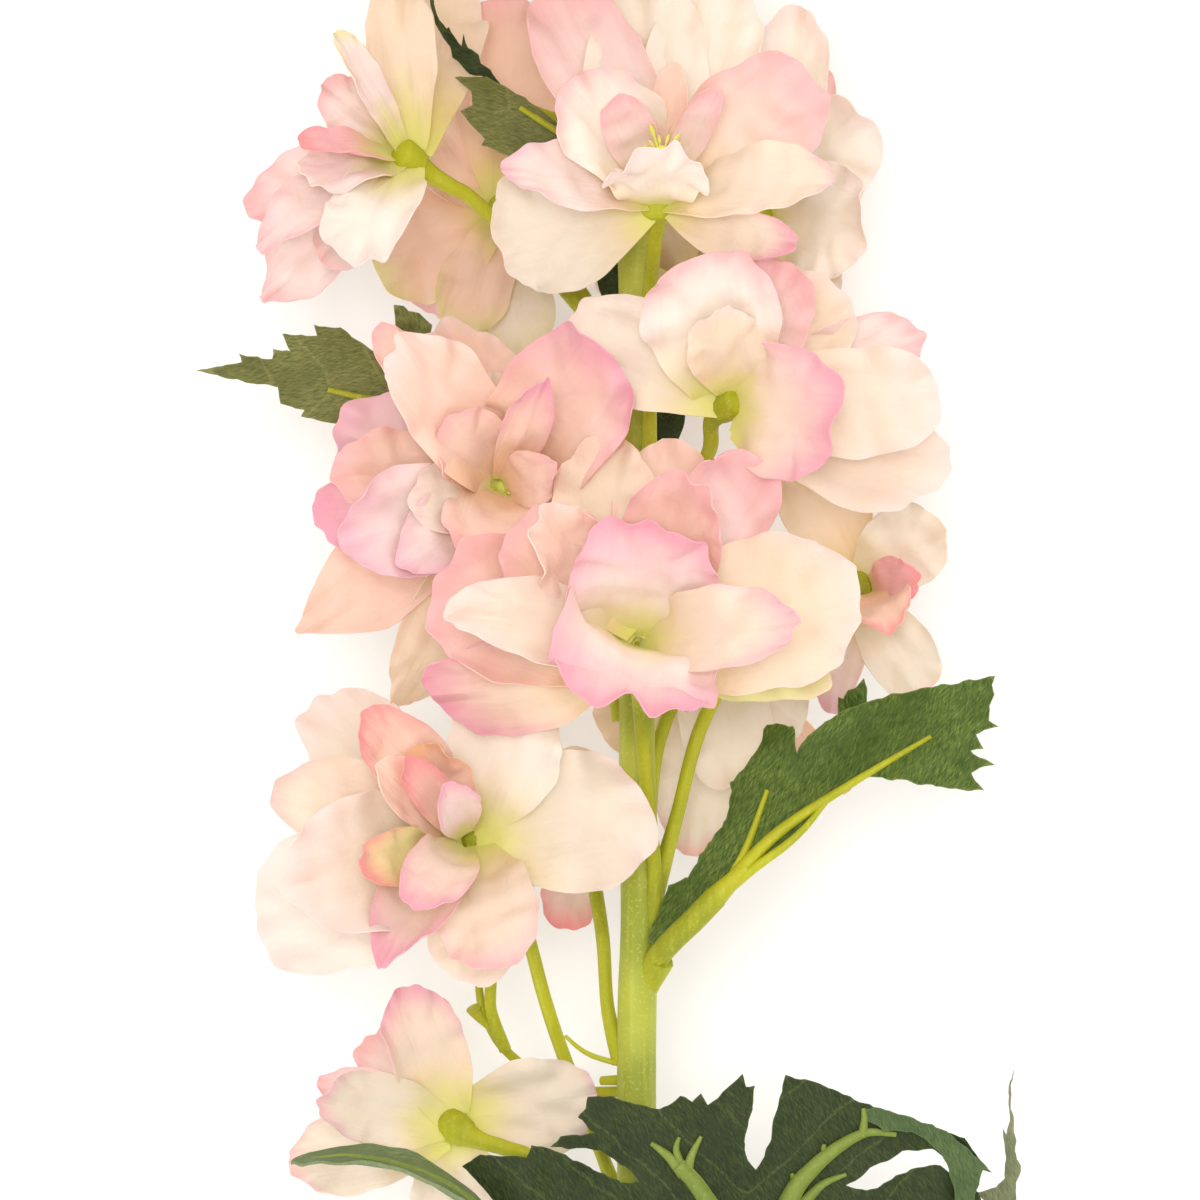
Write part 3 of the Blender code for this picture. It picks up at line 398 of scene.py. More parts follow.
# Each petal: tip across, down and height; width; roll of its face; bend of its length; lift of its
# left and right edges; curl of its tip; bluntness; layer; dye of its middle and edge, and how far
# the edge's dye runs in
BLOOMS = {
    "a": {
        "seat": (413, 163, 8),
        "axis": (-0.74, 0.46, 0.48),
        "stalk": ((430, 172, 7), (474, 200, 4), (540, 262, 0), (612, 352, -1), (630, 420, 0)),
        "petals": (
            (392, -28, 10, 72, 10, 20, 30, 20, 0, 0.6, 0, "cream", "blush", 0.3),
            (454, -40, -18, 104, 0, 8, 10, 4, 0, 0.6, 0, "cream", "blush", 0.5),
            (344, 262, 27, 92, 14, 25, 25, 35, 0, 0.6, 0, "pearl", "blush", 0.6),
            (300, 178, 20, 66, 30, 20, 35, 35, 0, 0.6, 1, "blush", "blush", 0.4),
            (258, 250, 20, 70, 30, 30, 40, 30, 0, 0.9, 1, "blush", "pink", 0.6),
            (326, 268, 14, 85, 20, 25, 30, 20, 10, 0.8, 0, "blush", "pink", 0.3),
            (336, 30, 18, 36, 24, 15, 40, 20, 0, 0.7, 1, "blush", "lemon", 0.35),
            (297, 142, 24, 48, 50, 10, 40, 20, 0, 0.7, 2, "pink", "rose", 0.5),
            (322, 84, 12, 70, 20, 15, 30, 30, 0, 0.6, 1, "blush", "pink", 0.5),
            (246, 212, 12, 88, 10, 15, 30, 20, 0, 0.9, 1, "blush", "pink", 0.6),
            (262, 303, 4, 92, 20, 15, 20, 30, 0, 1.1, 0, "blush", "pink", 0.4),
        ),
    },
    "b": {
        "seat": (657, 207, 15),
        "axis": (0.05, 0.62, 0.78),
        "stalk": ((655, 228, 10), (650, 300, 5), (650, 430, 4), (648, 520, 2)),
        "petals": (
            (485, 250, 12, 132, 0, 20, 20, 20, 0, 0.5, 0, "white", "blush", 0.15),
            (500, 168, 26, 75, 25, 25, 40, 20, 0, 0.8, 0, "blush", "lilac", 0.4),
            (654, 150, 35, 102, 0, 14, 14, 14, 0, 0.6, 0, "pearl", "blush", 0.7),
            (836, 182, 28, 90, -30, 20, 30, 50, 0, 0.8, 0, "ivory", "lilac", 0.25),
            (808, 268, 24, 66, 10, 25, 20, 40, 10, 0.8, 0, "ivory", "orchid", 0.55),
            (815, 78, 18, 130, 0, 20, 30, 30, 0, 0.5, 0, "ivory", "pink", 0.9),
            (642, -14, 4, 128, 0, 15, 25, 25, 0, 0.5, 0, "pearl", "ivory", 0.2),
            (728, -24, -1, 112, 0, 15, 25, 25, 0, 0.5, 0, "pearl", "blush", 0.4),
            (548, -18, 6, 105, 10, 15, 25, 25, 0, 0.5, 0, "blush", "pink", 0.75),
            (568, 80, 24, 110, 20, 20, 30, 30, 0, 0.5, 1, "pearl", "pink", 0.5),
            (614, 96, 29, 52, 0, -20, 20, 20, 0, 0.5, 2, "blush", "pink", 0.8),
            (674, 62, 22, 38, 0, 0, 30, 30, 0, 0.5, 2, "peach", "peach", 0.3),
            (716, 90, 28, 36, 0, -20, 20, 20, 0, 0.5, 2, "blush", "pink", 0.8),
        ),
    },
    "c": {
        "seat": (752, 222, -12),
        "axis": (0.5, 0.3, -0.75),
        "stalk": ((722, 240, -6), (690, 280, -5), (662, 350, -4), (645, 420, -3)),
        "petals": (
            # Painted light: these petals lie in shade under bloom b, and their pearl dye is lighter than
            # their cream to lift them
            (864, 112, -5, 120, 0, 0, 16, 16, 0, 0.5, 0, "pearl", "blush", 0.5),
            (866, 225, -3, 125, 0, 0, 16, 16, 0, 0.5, 0, "pearl", "blush", 0.5),
            (800, 6, -12, 92, 0, -10, 20, 20, 0, 0.6, 0, "pearl", "blush", 0.5),
            (812, 325, -10, 110, 0, -10, 20, 20, 0, 0.5, 0, "pearl", "blush", 0.5),
            (820, 60, -20, 70, 0, -10, 20, 20, 0, 0.6, 1, "blush", "pink", 0.5),
        ),
    },
    "d": {
        "seat": (724, 408, 15),
        "axis": (0.7, 0.45, 0.55),
        "stalk": ((718, 424, 12), (704, 462, 7), (672, 520, 3), (652, 590, 2)),
        "petals": (
            (538, 308, 13, 110, 0, 20, 15, 20, 10, 0.45, 0, "pearl", "blush", 0.4),
            (700, 248, 26, 145, -10, 15, 40, 25, 0, 0.5, 0, "pearl", "pink", 0.65),
            (790, 262, 22, 95, 0, 15, 25, 25, 0, 0.5, 0, "blush", "pink", 0.8),
            (724, 306, 27, 84, 0, 20, 10, 14, 0, 0.95, 1, "cream", "blush", 0.4),
            (842, 414, 33, 138, 4, 20, 25, 30, 0, 0.5, 0, "ivory", "orchid", 0.85),
            (943, 402, 16, 112, 0, 15, 20, 20, 0, 0.5, 1, "ivory", "blush", 0.6),
            (838, 288, 10, 112, 0, 15, 25, 25, 0, 0.5, 1, "cream", "blush", 0.4),
            (922, 330, 4, 78, 0, 15, 25, 25, 0, 0.6, 0, "blush", "pink", 0.5),
            (946, 482, 8, 118, 0, 15, 20, 20, 0, 0.5, 0, "ivory", "blush", 0.6),
        ),
    },
    "e": {
        "seat": (508, 492, 6),
        "axis": (-0.35, 0.25, 0.9),
        "stalk": ((525, 512, 2), (560, 556, -1), (605, 640, -2), (622, 720, -1)),
        "petals": (
            (376, 324, 12, 84, 20, 15, 30, 30, 0, 1.0, 0, "peach", "pink", 0.4),
            (390, 334, 28, 112, 20, 25, 35, 15, 0, 1.05, 1, "peach", "blush", 0.5),
            (440, 324, 4, 118, 0, 20, 20, 20, 0, 0.65, 0, "peach", "blush", 0.3),
            (496, 372, 12, 66, -15, 15, 25, 25, 0, 0.6, 1, "cream", "blush", 0.3),
            (336, 425, 8, 112, 0, 20, 25, 25, 0, 0.5, 0, "blush", "lilac", 0.8),
            (332, 472, 18, 100, 10, 20, 30, 30, 0, 0.6, 1, "peach", "pink", 0.5),
            (313, 517, 12, 100, 0, 20, 30, 30, 0, 0.5, 0, "blush", "orchid", 0.85),
            (340, 540, 24, 112, -10, 20, 30, 30, 0, 0.6, 1, "blush", "lilac", 0.7),
            (295, 634, 8, 100, 0, 20, 30, 30, 20, 1.2, 0, "peach", "peach", 0.3),
            (634, 348, 26, 158, -8, 20, 22, 28, 0, 0.45, 0, "peach", "orchid", 0.75),
            (640, 392, 19, 124, -15, 15, 25, 35, 0, 0.5, 1, "peach", "orange", 0.6),
            (545, 380, 32, 50, 16, 10, 25, 35, 14, 0.9, 2, "peach", "orchid", 0.7),
            (560, 470, 27, 60, 10, 10, 20, 20, 0, 0.9, 2, "peach", "pink", 0.5),
            (408, 506, 22, 76, 0, 15, 25, 25, 0, 0.8, 2, "ivory", "blush", 0.6),
            (396, 740, 8, 84, 0, 20, 45, 35, 0, 0.9, 0, "cream", "peach", 0.2),
            (446, 420, 22, 84, 10, 10, 25, 25, 0, 0.7, 2, "peach", "pink", 0.5),
            (402, 568, 24, 80, 0, 20, 25, 30, 10, 0.8, 2, "blush", "lilac", 0.6),
            (478, 560, 25, 96, 0, 25, 25, 25, 10, 0.6, 2, "peach", "pink", 0.6),
        ),
    },
    "f": {
        "seat": (637, 650, 20),
        "axis": (0.0, 0.55, 0.83),
        "stalk": ((640, 668, 15), (641, 720, 7), (648, 800, 4), (655, 870, 3), (652, 925, 1)),
        "petals": (
            (446, 610, 42, 90, 22, 25, 25, 20, 0, 0.8, 0, "ivory", "blush", 0.6),
            (802, 620, 45, 88, -14, 25, 20, 25, 0, 0.95, 0, "ivory", "lilac", 0.55),
            (618, 716, 46, 182, 0, 55, 30, 45, 20, 0.45, 0, "pearl", "orchid", 0.95),
            (408, 716, 22, 112, -15, 25, 20, 30, 0, 0.5, 0, "cream", "orchid", 0.75),
            (650, 520, 38, 148, 0, 10, 25, 25, 0, 0.6, 1, "pearl", "orchid", 0.9),
            (540, 512, 36, 92, 20, -30, 30, 30, 0, 0.5, 1, "peach", "blush", 0.3),
            (556, 548, 30, 56, 10, -20, 30, 30, 0, 0.6, 2, "peach", "peach", 0.3),
            (422, 588, 23, 155, 10, 20, 24, 16, 0, 0.5, 0, "peach", "pink", 0.7),
            (512, 524, 30, 118, 12, 25, 8, 35, 0, 0.5, 1, "peach", "pink", 0.5),
            (592, 436, 18, 115, 0, 20, 25, 25, 0, 0.5, 0, "cream", "peach", 0.4),
            (682, 436, 16, 105, 0, 15, 25, 25, 0, 0.5, 0, "peach", "peach", 0.4),
            (692, 478, 34, 110, -10, -30, 35, 35, 0, 0.5, 1, "peach", "pink", 0.6),
            (768, 444, 22, 100, 0, 20, 25, 8, 0, 0.5, 0, "blush", "pink", 0.9),
            (860, 592, 24, 155, 0, 25, 20, 20, 0, 0.45, 0, "cream", "blush", 0.5),
            (838, 668, 16, 84, 15, 20, 25, 20, 0, 0.6, 0, "lemon", "cream", 0.4),
        ),
    },
    "g": {
        "seat": (474, 838, 12),
        "axis": (-0.45, -0.05, 0.88),
        "stalk": (
            (492, 858, 7), (520, 910, 2), (545, 1000, -3), (566, 1062, -6), (604, 1160, -5),
            (630, 1230, -1),
        ),
        "petals": (
            (660, 802, 14, 148, 0, 20, 20, 20, 0, 0.45, 0, "white", "blush", 0.5),
            (532, 676, 22, 118, 0, 20, 15, 15, 0, 0.45, 0, "pearl", "white", 0.4),
            (314, 706, 0, 112, 0, 20, 20, 20, 0, 0.45, 0, "white", "blush", 0.6),
            (362, 712, 26, 80, 20, 20, 40, 30, 0, 0.6, 1, "peach", "rose", 0.5),
            (378, 762, 36, 60, 10, 10, 40, 30, 0, 0.7, 2, "peach", "peach", 0.3),
            (272, 790, 22, 95, 10, 20, 30, 20, 0, 0.6, 0, "ivory", "pink", 0.3),
            (284, 880, 36, 142, 0, 15, 35, 35, 0, 0.5, 1, "white", "blush", 0.85),
            (258, 932, 12, 150, 0, 25, 20, 20, 0, 0.45, 0, "pearl", "blush", 0.8),
            (380, 964, 38, 78, 25, 20, 30, 40, 0, 0.85, 1, "ivory", "orchid", 0.7),
            (478, 985, 14, 96, 0, 25, 20, 20, 0, 0.6, 0, "ivory", "blush", 0.3),
            (498, 970, 30, 108, 0, 30, 25, 25, 0, 0.55, 0, "ivory", "pink", 0.5),
            (358, 866, 40, 58, 0, 0, 30, 30, 0, 0.5, 2, "lemon", "rose", 0.65),
            (448, 784, 40, 50, 20, 10, 30, 30, 0, 0.7, 2, "blush", "orchid", 0.6),
            (424, 744, 26, 76, -20, 15, 30, 30, 0, 0.5, 1, "peach", "orange", 0.6),
            (404, 760, 37, 44, 16, 10, 30, 25, 0, 0.6, 2, "peach", "rose", 0.8),
            (408, 908, 42, 72, 14, 30, 30, 40, 10, 0.85, 2, "ivory", "orchid", 0.75),
        ),
    },
    "h": {
        "seat": (460, 1130, 0),
        "axis": (-0.72, 0.42, -0.55),
        "stalk": ((500, 1147, 5), (540, 1162, 3.5), (600, 1215, 1), (628, 1290, 0)),
        "petals": (
            (404, 985, 3, 88, 14, -15, 25, 30, 0, 0.85, 0, "ivory", "orchid", 0.6),
            (362, 1044, -14, 84, 0, -15, 25, 25, 0, 0.6, 1, "blush", "pink", 0.5),
            (320, 1098, 8, 80, 10, -15, 30, 20, 0, 0.7, 0, "white", "lilac", 0.4),
            (317, 1080, -6, 60, 0, -15, 20, 20, 0, 0.9, 1, "blush", "pink", 0.5),
            (288, 1166, -7, 88, 0, -15, 20, 20, 0, 0.7, 0, "white", "pink", 0.3),
            (598, 1098, 0, 104, 0, -20, 25, 20, 0, 0.6, 0, "white", "lilac", 0.25),
            (458, 1240, -9, 94, 0, -20, 20, 20, 0, 0.5, 0, "white", "blush", 0.3),
        ),
    },
    "i": {
        "seat": (848, 590, -6),
        "axis": (0.85, 0.15, -0.2),
        "stalk": ((800, 602, -5), (756, 640, -2), (704, 720, 0), (676, 820, 0), (652, 905, 0)),
        "petals": (
            (940, 520, -2, 88, 0, 10, 20, 20, 0, 0.6, 0, "white", "cream", 0.2),
            (918, 576, 4, 54, 0, 10, 30, 30, 0, 0.6, 1, "pink", "rose", 0.5),
            (886, 628, 8, 76, 0, 10, 30, 30, 0, 0.6, 1, "peach", "rose", 0.4),
            (928, 694, -6, 74, 0, 10, 20, 20, 0, 0.6, 0, "white", "pink", 0.2),
            (802, 452, -6, 92, 0, 10, 20, 20, 0, 0.5, 0, "cream", "peach", 0.4),
            (822, 718, -12, 50, 0, 10, 20, 20, 0, 0.6, 0, "blush", "lilac", 0.6),
        ),
    },
    "j": {
        "seat": (702, 650, -12),
        "axis": (0.35, 0.2, -0.9),
        "stalk": ((682, 672, -5), (668, 715, -4), (655, 760, -3), (645, 830, -2)),
        "petals": (
            (742, 788, -3, 98, 0, -4, 14, 14, 0, 0.5, 0, "pearl", "blush", 0.4),
            (690, 856, -13, 88, 0, -4, 14, 14, 0, 0.5, 0, "pearl", "pink", 0.3),
            (800, 730, -9, 88, 0, -4, 14, 14, 0, 0.5, 0, "pearl", "pearl", 0.2),
            (848, 792, -20, 44, 0, -10, 20, 20, 0, 0.6, 0, "peach", "orange", 0.6),
            (600, 742, -18, 84, 0, -10, 20, 20, 0, 0.5, 0, "cream", "cream", 0.2),
        ),
    },
    "k": {
        "seat": (588, 838, -12),
        "axis": (-0.3, 0.35, -0.85),
        "stalk": ((604, 872, -5), (603, 940, -4), (608, 1010, -3), (622, 1062, -1)),
        "petals": (
            (564, 930, -14, 62, 0, -10, 20, 20, 0, 0.5, 0, "blush", "rose", 0.7),
            (480, 850, -22, 90, 0, -10, 20, 20, 0, 0.5, 0, "cream", "blush", 0.3),
            (550, 750, -22, 90, 0, -10, 20, 20, 0, 0.5, 0, "cream", "blush", 0.3),
            (620, 800, -24, 60, 0, -10, 20, 20, 0, 0.5, 0, "cream", "cream", 0.3),
        ),
    },
    "m": {
        "seat": (508, 214, -12),
        "axis": (-0.3, 0.3, -0.9),
        "stalk": ((530, 232, -5), (560, 262, -5), (604, 330, -4), (630, 400, -3)),
        "petals": (
            (372, 262, -14, 128, 0, -4, 14, 14, 0, 0.45, 0, "peach", "lemon", 0.5),
            (440, 118, -14, 104, 0, -15, 20, 20, 0, 0.5, 0, "peach", "pearl", 0.5),
            (502, -12, -10, 108, 0, -15, 20, 20, 0, 0.5, 0, "peach", "pink", 0.5),
            (456, 336, -10, 78, 0, -4, 14, 14, 0, 0.6, 0, "peach", "lemon", 0.6),
            (512, 374, -15, 92, 0, -4, 14, 14, 0, 0.5, 0, "pearl", "lemon", 0.6),
            (415, 306, -26, 84, 0, -10, 20, 20, 0, 0.5, 1, "blush", "pink", 0.5),
        ),
    },
}

# Blooms laid by rule: place along the stem, turn about it, reach of the stalk and petal length
RULED = {
    "n": (2, 240, 13, 22),
    "o": (40, 298, 16, 20),
    "p": (114, 222, 26, 32),
    "q": (131, 322, 27, 32),
    "r": (107, 98, 24, 32),
    "s": (138, 172, 24, 30),
    "t": (148, 35, 22, 29),
    "u": (166, 105, 20, 27),
    "v": (178, 222, 20, 25),
    "w": (192, 330, 18, 23),
    "x": (202, 70, 16, 21),
    "y": (216, 165, 15, 19),
    "z": (228, 290, 14, 17),
    "l": (239, 30, 12, 15),
}

# Their layers from the outer to the inner: lean from the axis, length, width and bend of petals
OPENING = (76, 50, 26)
LAYER_SHARE = (1.0, 0.84, 0.6)
LAYER_WIDTH = (0.86, 0.74, 0.5)
LAYER_BEND = (34, 16, -18)
INNER_PETALS = 4
SPREAD = 0.72
CUP_LENGTH = 8 * MM
SEED = 11
RULED_DYES = (
    ("cream", "pink", 0.4),
    ("white", "blush", 0.3),
    ("cream", "blush", 0.4),
    ("blush", "pink", 0.5),
    ("peach", "pink", 0.35),
    ("white", "lilac", 0.3),
)
INNER_DYES = (("blush", "rose", 0.5), ("peach", "pink", 0.4), ("lemon", "pink", 0.5))

# Petals of different blooms press against each other, and give way mostly along the view
GAP = 0.8 * MM
SOFTNESS = 3.5 * MM
SEAT_FREE = 6 * MM
SEAT_SHARE = 0.35
NEIGHBOUR_REACH = 2.2
YIELD = 0.4
STEM_YIELD = 0.6
GIVE = (0.15, 0.15, 1.0)
STEM_GAP = 1.2 * MM
FLOOR_GAP = 1.5 * MM

# The spike rests on one petal of each of these blooms: its place sideways and along the spike
RESTING = {"p": (-32, 128), "q": (34, 145)}
PRESS_DEPTH = 11 * MM
FOOT_WIDTH = 26 * MM


def seen(across, down, height):
    """The point that shows at a grid place, height millimetres in front of the stem's axis."""
    nearer = 1 - height * MM / EYE_HEIGHT
    x = (across - GRID_MIDDLE) * GRID * nearer
    y = (GRID_MIDDLE - down) * GRID * nearer + SHIFT_Y
    return np.array((x, y, STEM_LIFT + height * MM))


def unit(vector):
    """A vector brought to length 1."""
    return np.asarray(vector, float) / np.linalg.norm(vector)


def turned(vector, about, degrees):
    """A vector turned about a unit axis."""
    angle = math.radians(degrees)
    along = about * (vector @ about)
    return along + (vector - along) * math.cos(angle) + np.cross(about, vector) * math.sin(angle)


def stem_point(along):
    """The stem's middle and radius at a distance along the spike."""
    stations = [row[0] * MM for row in STEM_PATH]
    sideways, height, radius = (
        np.interp(along, stations, [row[column] * MM for row in STEM_PATH]) for column in (1, 2, 3)
    )
    return np.array((sideways, along + SHIFT_Y, height)), radius


def midrib(bend, curl, stations):
    """Places along a bent midrib whose ends are fixed, as complex numbers, and their slopes."""
    fine = np.linspace(0, 1, 41)
    late = np.clip((fine - CURL_FROM) / (1 - CURL_FROM), 0, 1)
    slope = math.radians(bend) * (0.5 - fine) + math.radians(curl) * late**2
    step = np.exp(1j * slope)
    run = np.concatenate(([0], np.cumsum((step[1:] + step[:-1]) / 2)))
    slope = slope - np.angle(run[-1])
    run = run / run[-1]
    place = np.interp(stations, fine, run.real) + 1j * np.interp(stations, fine, run.imag)
    return place, np.interp(stations, fine, slope)


def petal_cut(rows, columns, root_width=ROOT_WIDTH):
    """A petal laid flat: shares along and across, closeness to the rim, and bearing round it."""
    stations = np.linspace(0, 1, rows)[:, None] + np.zeros(columns)
    across = np.linspace(-1, 1, columns)[None, :] + np.zeros((rows, 1))
    late = np.clip((stations - WIDEST) / (1 - WIDEST), 0, 1)
    wide = across * np.sqrt(1 - late**2 / 2)
    high = late * np.sqrt(1 - across**2 / 2)
    early = np.minimum(stations, WIDEST)
    rising = root_width + (1 - root_width) * np.sin(np.pi / 2 * early / WIDEST)
    bearing = np.arctan2(high, wide) - (WIDEST - early) * RIM_TURN * np.sign(across)
    return early + (1 - WIDEST) * high, wide * rising, np.hypot(wide, high), bearing


def petal_root(bloom, petal):
    """Where a petal is fixed: on the side of the bloom's base that its tip points to."""
    out = petal["tip"] - bloom["seat"]
    sideways = out - bloom["axis"] * (out @ bloom["axis"])
    rise = SEAT_GAP + LAYER_STEP * (1 + petal["layer"])
    return bloom["seat"] + bloom["axis"] * rise + unit(sideways) * bloom.get("ring", ROOT_RADIUS)


def petal_surface(root, petal, cut, dice, ruffle):
    """Points of a petal's middle surface, cupped and waved toward its rim."""
    chord = petal["tip"] - root
    length = np.linalg.norm(chord)
    along = chord / length
    face = petal["face"] - along * (petal["face"] @ along)
    face = turned(unit(face), along, petal["roll"])
    side = np.cross(along, face)
    turns = [dice.uniform(0, math.tau) for _ in range(8)]
    beats = [dice.uniform(0.8, 1.3) for _ in range(4)]
    s, a, rim, bearing = cut

    # Nicks of the cut edge, and how far a pointed tip narrows
    nick = np.sin(bearing * 4.6 * beats[0] + turns[0]) + 0.6 * np.sin(bearing * 9.3 * beats[1] + turns[1])
    nick = 1 + ruffle * NICK_SHARE * (nick + 0.22 * np.sin(bearing * 17 * beats[3] + turns[7])) * rim**3
    s = WIDEST + (s - WIDEST) * np.where(s > WIDEST, nick, 1)
    narrowed = np.clip((petal["blunt"] - 0.55) * 1.2, -0.1, 0.85)
    a = a * nick * (1 - narrowed * np.clip((s - WIDEST) / (1 - WIDEST), 0, 1) ** 2)
    half = petal["width"] / 2

    # The cup across the petal, raised at both edges
    lift = np.where(a < 0, min(petal["left"], STEEPEST_CUP), min(petal["right"], STEEPEST_CUP))
    angle = np.maximum(np.radians(lift), 0.01)
    outward = half * np.sin(angle * np.abs(a)) / angle * np.sign(a)
    raised = half * (1 - np.cos(angle * np.abs(a))) / angle
    # Waves round the rim and over the petal, and crumples that the press leaves
    wave = np.sin(bearing * 3.1 * beats[2] + turns[2])
    wave = wave + 0.55 * np.sin(bearing * 6.5 * beats[3] + turns[3])
    wave = wave + 0.32 * np.sin(bearing * 13 + turns[4])
    wave = wave * rim**2.2 + 0.34 * np.sin(s * 7 + a * 4 + turns[5]) * np.sin(a * 5 - s * 3 + turns[6])
    wave = wave + 0.14 * np.sin(a * 11 * beats[0] + s * 2 + turns[7]) * s
    crumple = np.zeros_like(s)
    for _ in range(CRUMPLES):
        heading = dice.uniform(0, math.pi)
        pitch = math.tau / CRUMPLE_PITCH * dice.uniform(0.6, 1.7)
        run = a * half * math.cos(heading) + s * length * math.sin(heading)
        crumple = crumple + np.sin(run * pitch + dice.uniform(0, math.tau))
    raised = raised + (ruffle * petal["width"] * wave + CRUMPLE * crumple) * np.clip(s / PRESS_FROM, 0, 1)
    place, slope = midrib(petal["bend"], petal["curl"], s)
    middle = root + length * (along * place.real[..., None] + face * place.imag[..., None])
    normal = face * np.cos(slope)[..., None] - along * np.sin(slope)[..., None]
    return middle + side * outward[..., None] + normal * raised[..., None]


def listed_petals(rows):
    """Petals from their rows, with their tips and widths in the piece's own measure."""
    names = ("width", "roll", "bend", "left", "right", "curl", "blunt", "layer", "body", "edge", "reach")
    petals = []
    for across, down, height, *rest in rows:
        petal = dict(zip(names, rest))
        petal["tip"] = seen(across, down, height)
        petal["width"] *= GRID
        petal["face"] = UP
        petals.append(petal)
    return petals


def ruled_bloom(along, turn, reach, length, layers, seed):
    """Seat, axis, stalk and petals of a bloom laid by rule."""
    dice = random.Random(seed)
    start, _ = stem_point(along * MM)
    angle = math.radians(turn)
    radial = np.array((math.cos(angle), 0, math.sin(angle)))
    axis = unit(radial * 0.8 + AHEAD * 0.6)
    seat = start + (radial + AHEAD * SPREAD) * reach * MM
    stalk = [seat - axis * CUP_LENGTH - AHEAD * MM, start + radial * reach * 0.3 * MM, start]
    first = unit(np.cross(axis, radial + UP * 0.01))
    second = np.cross(axis, first)
    petals = []
    for layer, count in enumerate(layers):
        for index in range(count):
            around = math.tau * (index + 0.5 * layer) / count + math.radians(dice.uniform(-8, 8))
            lean = math.radians(OPENING[layer] + dice.uniform(-7, 7))
            out = first * math.cos(around) + second * math.sin(around)
            size = length * LAYER_SHARE[layer] * dice.uniform(0.92, 1.08) * MM
            petal = {
                "tip": seat + (axis * math.cos(lean) + out * math.sin(lean)) * size,
                "width": length * LAYER_WIDTH[layer] * dice.uniform(0.92, 1.1) * MM,
                "face": axis,
                "roll": dice.uniform(-14, 14),
                "bend": LAYER_BEND[layer] + dice.uniform(-8, 8),
                "left": dice.uniform(18, 40),
                "right": dice.uniform(18, 40),
                "curl": dice.uniform(-4, 14),
                "blunt": dice.uniform(0.45, 0.7),
                "layer": layer,
            }
            petals.append(petal)
    return {"seat": seat, "axis": axis, "stalk": stalk, "petals": petals}


def ruled_extras(bloom, length, seed):
    """Dyes for a bloom laid by rule, and the small petals of its heart."""
    dice = random.Random(seed)
    for petal in bloom["petals"]:
        petal["body"], petal["edge"], petal["reach"] = dice.choice(RULED_DYES)
    axis = bloom["axis"]
    first = unit(np.cross(axis, UP + AHEAD * 0.01))
    second = np.cross(axis, first)
    for index in range(INNER_PETALS):
        around = math.tau * index / INNER_PETALS + dice.uniform(-0.3, 0.3)
        lean = math.radians(OPENING[2] + dice.uniform(-9, 9))
        out = first * math.cos(around) + second * math.sin(around)
        body, edge, reach = dice.choice(INNER_DYES)
        petal = {
            "tip": bloom["seat"] + (axis * math.cos(lean) + out * math.sin(lean)) * length * 0.5 * MM,
            "width": length * 0.36 * MM,
            "face": axis,
            "roll": dice.uniform(-14, 14),
            "bend": -18,
            "left": 38,
            "right": 38,
            "curl": 0,
            "blunt": 0.6,
            "layer": 2,
            "body": body,
            "edge": edge,
            "reach": reach,
        }
        bloom["petals"].append(petal)


blooms = {}
for letter, row in BLOOMS.items():
    blooms[letter] = {
        "seat": seen(*row["seat"]),
        "axis": unit(row["axis"]),
        "stalk": [seen(*place) for place in row["stalk"]],
        "petals": listed_petals(row["petals"]),
        "ring": ROOT_RADII.get(letter, ROOT_RADIUS),
    }
for number, (letter, row) in enumerate(RULED.items()):
    layers = (5, 3) if row[3] > 24 else (5, 2)
    blooms[letter] = ruled_bloom(*row, layers, SEED + number)
for letter, (sideways, along) in RESTING.items():
    foot = min(blooms[letter]["petals"], key=lambda petal: petal["tip"][2])
    foot["tip"] = np.array((sideways * MM, along * MM + SHIFT_Y, -PRESS_DEPTH))
    foot.update(width=FOOT_WIDTH, face=UP, roll=0, bend=-35, left=5, right=5, curl=-30)


def keep_apart(blooms):
    """Planes that keep each bloom's petals off its neighbours, the stem and the table."""
    middles = {}
    reaches = {}
    for letter, bloom in blooms.items():
        tips = np.array([petal["tip"] for petal in bloom["petals"]])
        middles[letter] = bloom["seat"] * SEAT_SHARE + tips.mean(axis=0) * (1 - SEAT_SHARE)
        reaches[letter] = np.linalg.norm(tips - middles[letter], axis=1).mean()
    for letter, bloom in blooms.items():
        planes = []
        here = middles[letter]
        for other in blooms:
            apart = here - middles[other]
            distance = np.linalg.norm(apart)
            if other == letter or distance > NEIGHBOUR_REACH * (reaches[letter] + reaches[other]):
                continue
            lean = (reaches[letter] ** 2 - reaches[other] ** 2) / distance
            planes.append((middles[other] + unit(apart) * (distance - lean) / 2, apart / distance, YIELD))
        beside, radius = stem_point(here[1] - SHIFT_Y)
        off = (here - beside) * (1, 0, 1)
        planes.append((beside + unit(off) * (radius + STEM_GAP), unit(off), STEM_YIELD))
        bloom["resting"] = letter in RESTING
        if not bloom["resting"]:
            planes.append((UP * FLOOR_GAP, UP, 1.0))
        bloom["planes"] = planes


def confined(points, bloom):
    """Points bent softly back inside a bloom's own space, mostly along the view."""
    for place, inward, share in bloom["planes"]:
        depth = (points - place) @ inward
        near = np.exp(np.minimum(depth - SOFTNESS, 0) / (SOFTNESS - GAP)) * (SOFTNESS - GAP) + GAP
        push = np.where(depth < SOFTNESS, near - depth, 0) * share
        free = (np.linalg.norm(points - bloom["seat"], axis=-1) - SEAT_FREE) / SEAT_FREE
        way = unit(inward * GIVE)
        points = points + way * (push * np.clip(free, 0, 1) / (way @ inward))[..., None]
    if bloom["resting"]:
        points[..., 2] = np.maximum(points[..., 2], PETAL_THICKNESS / 2)
    return points


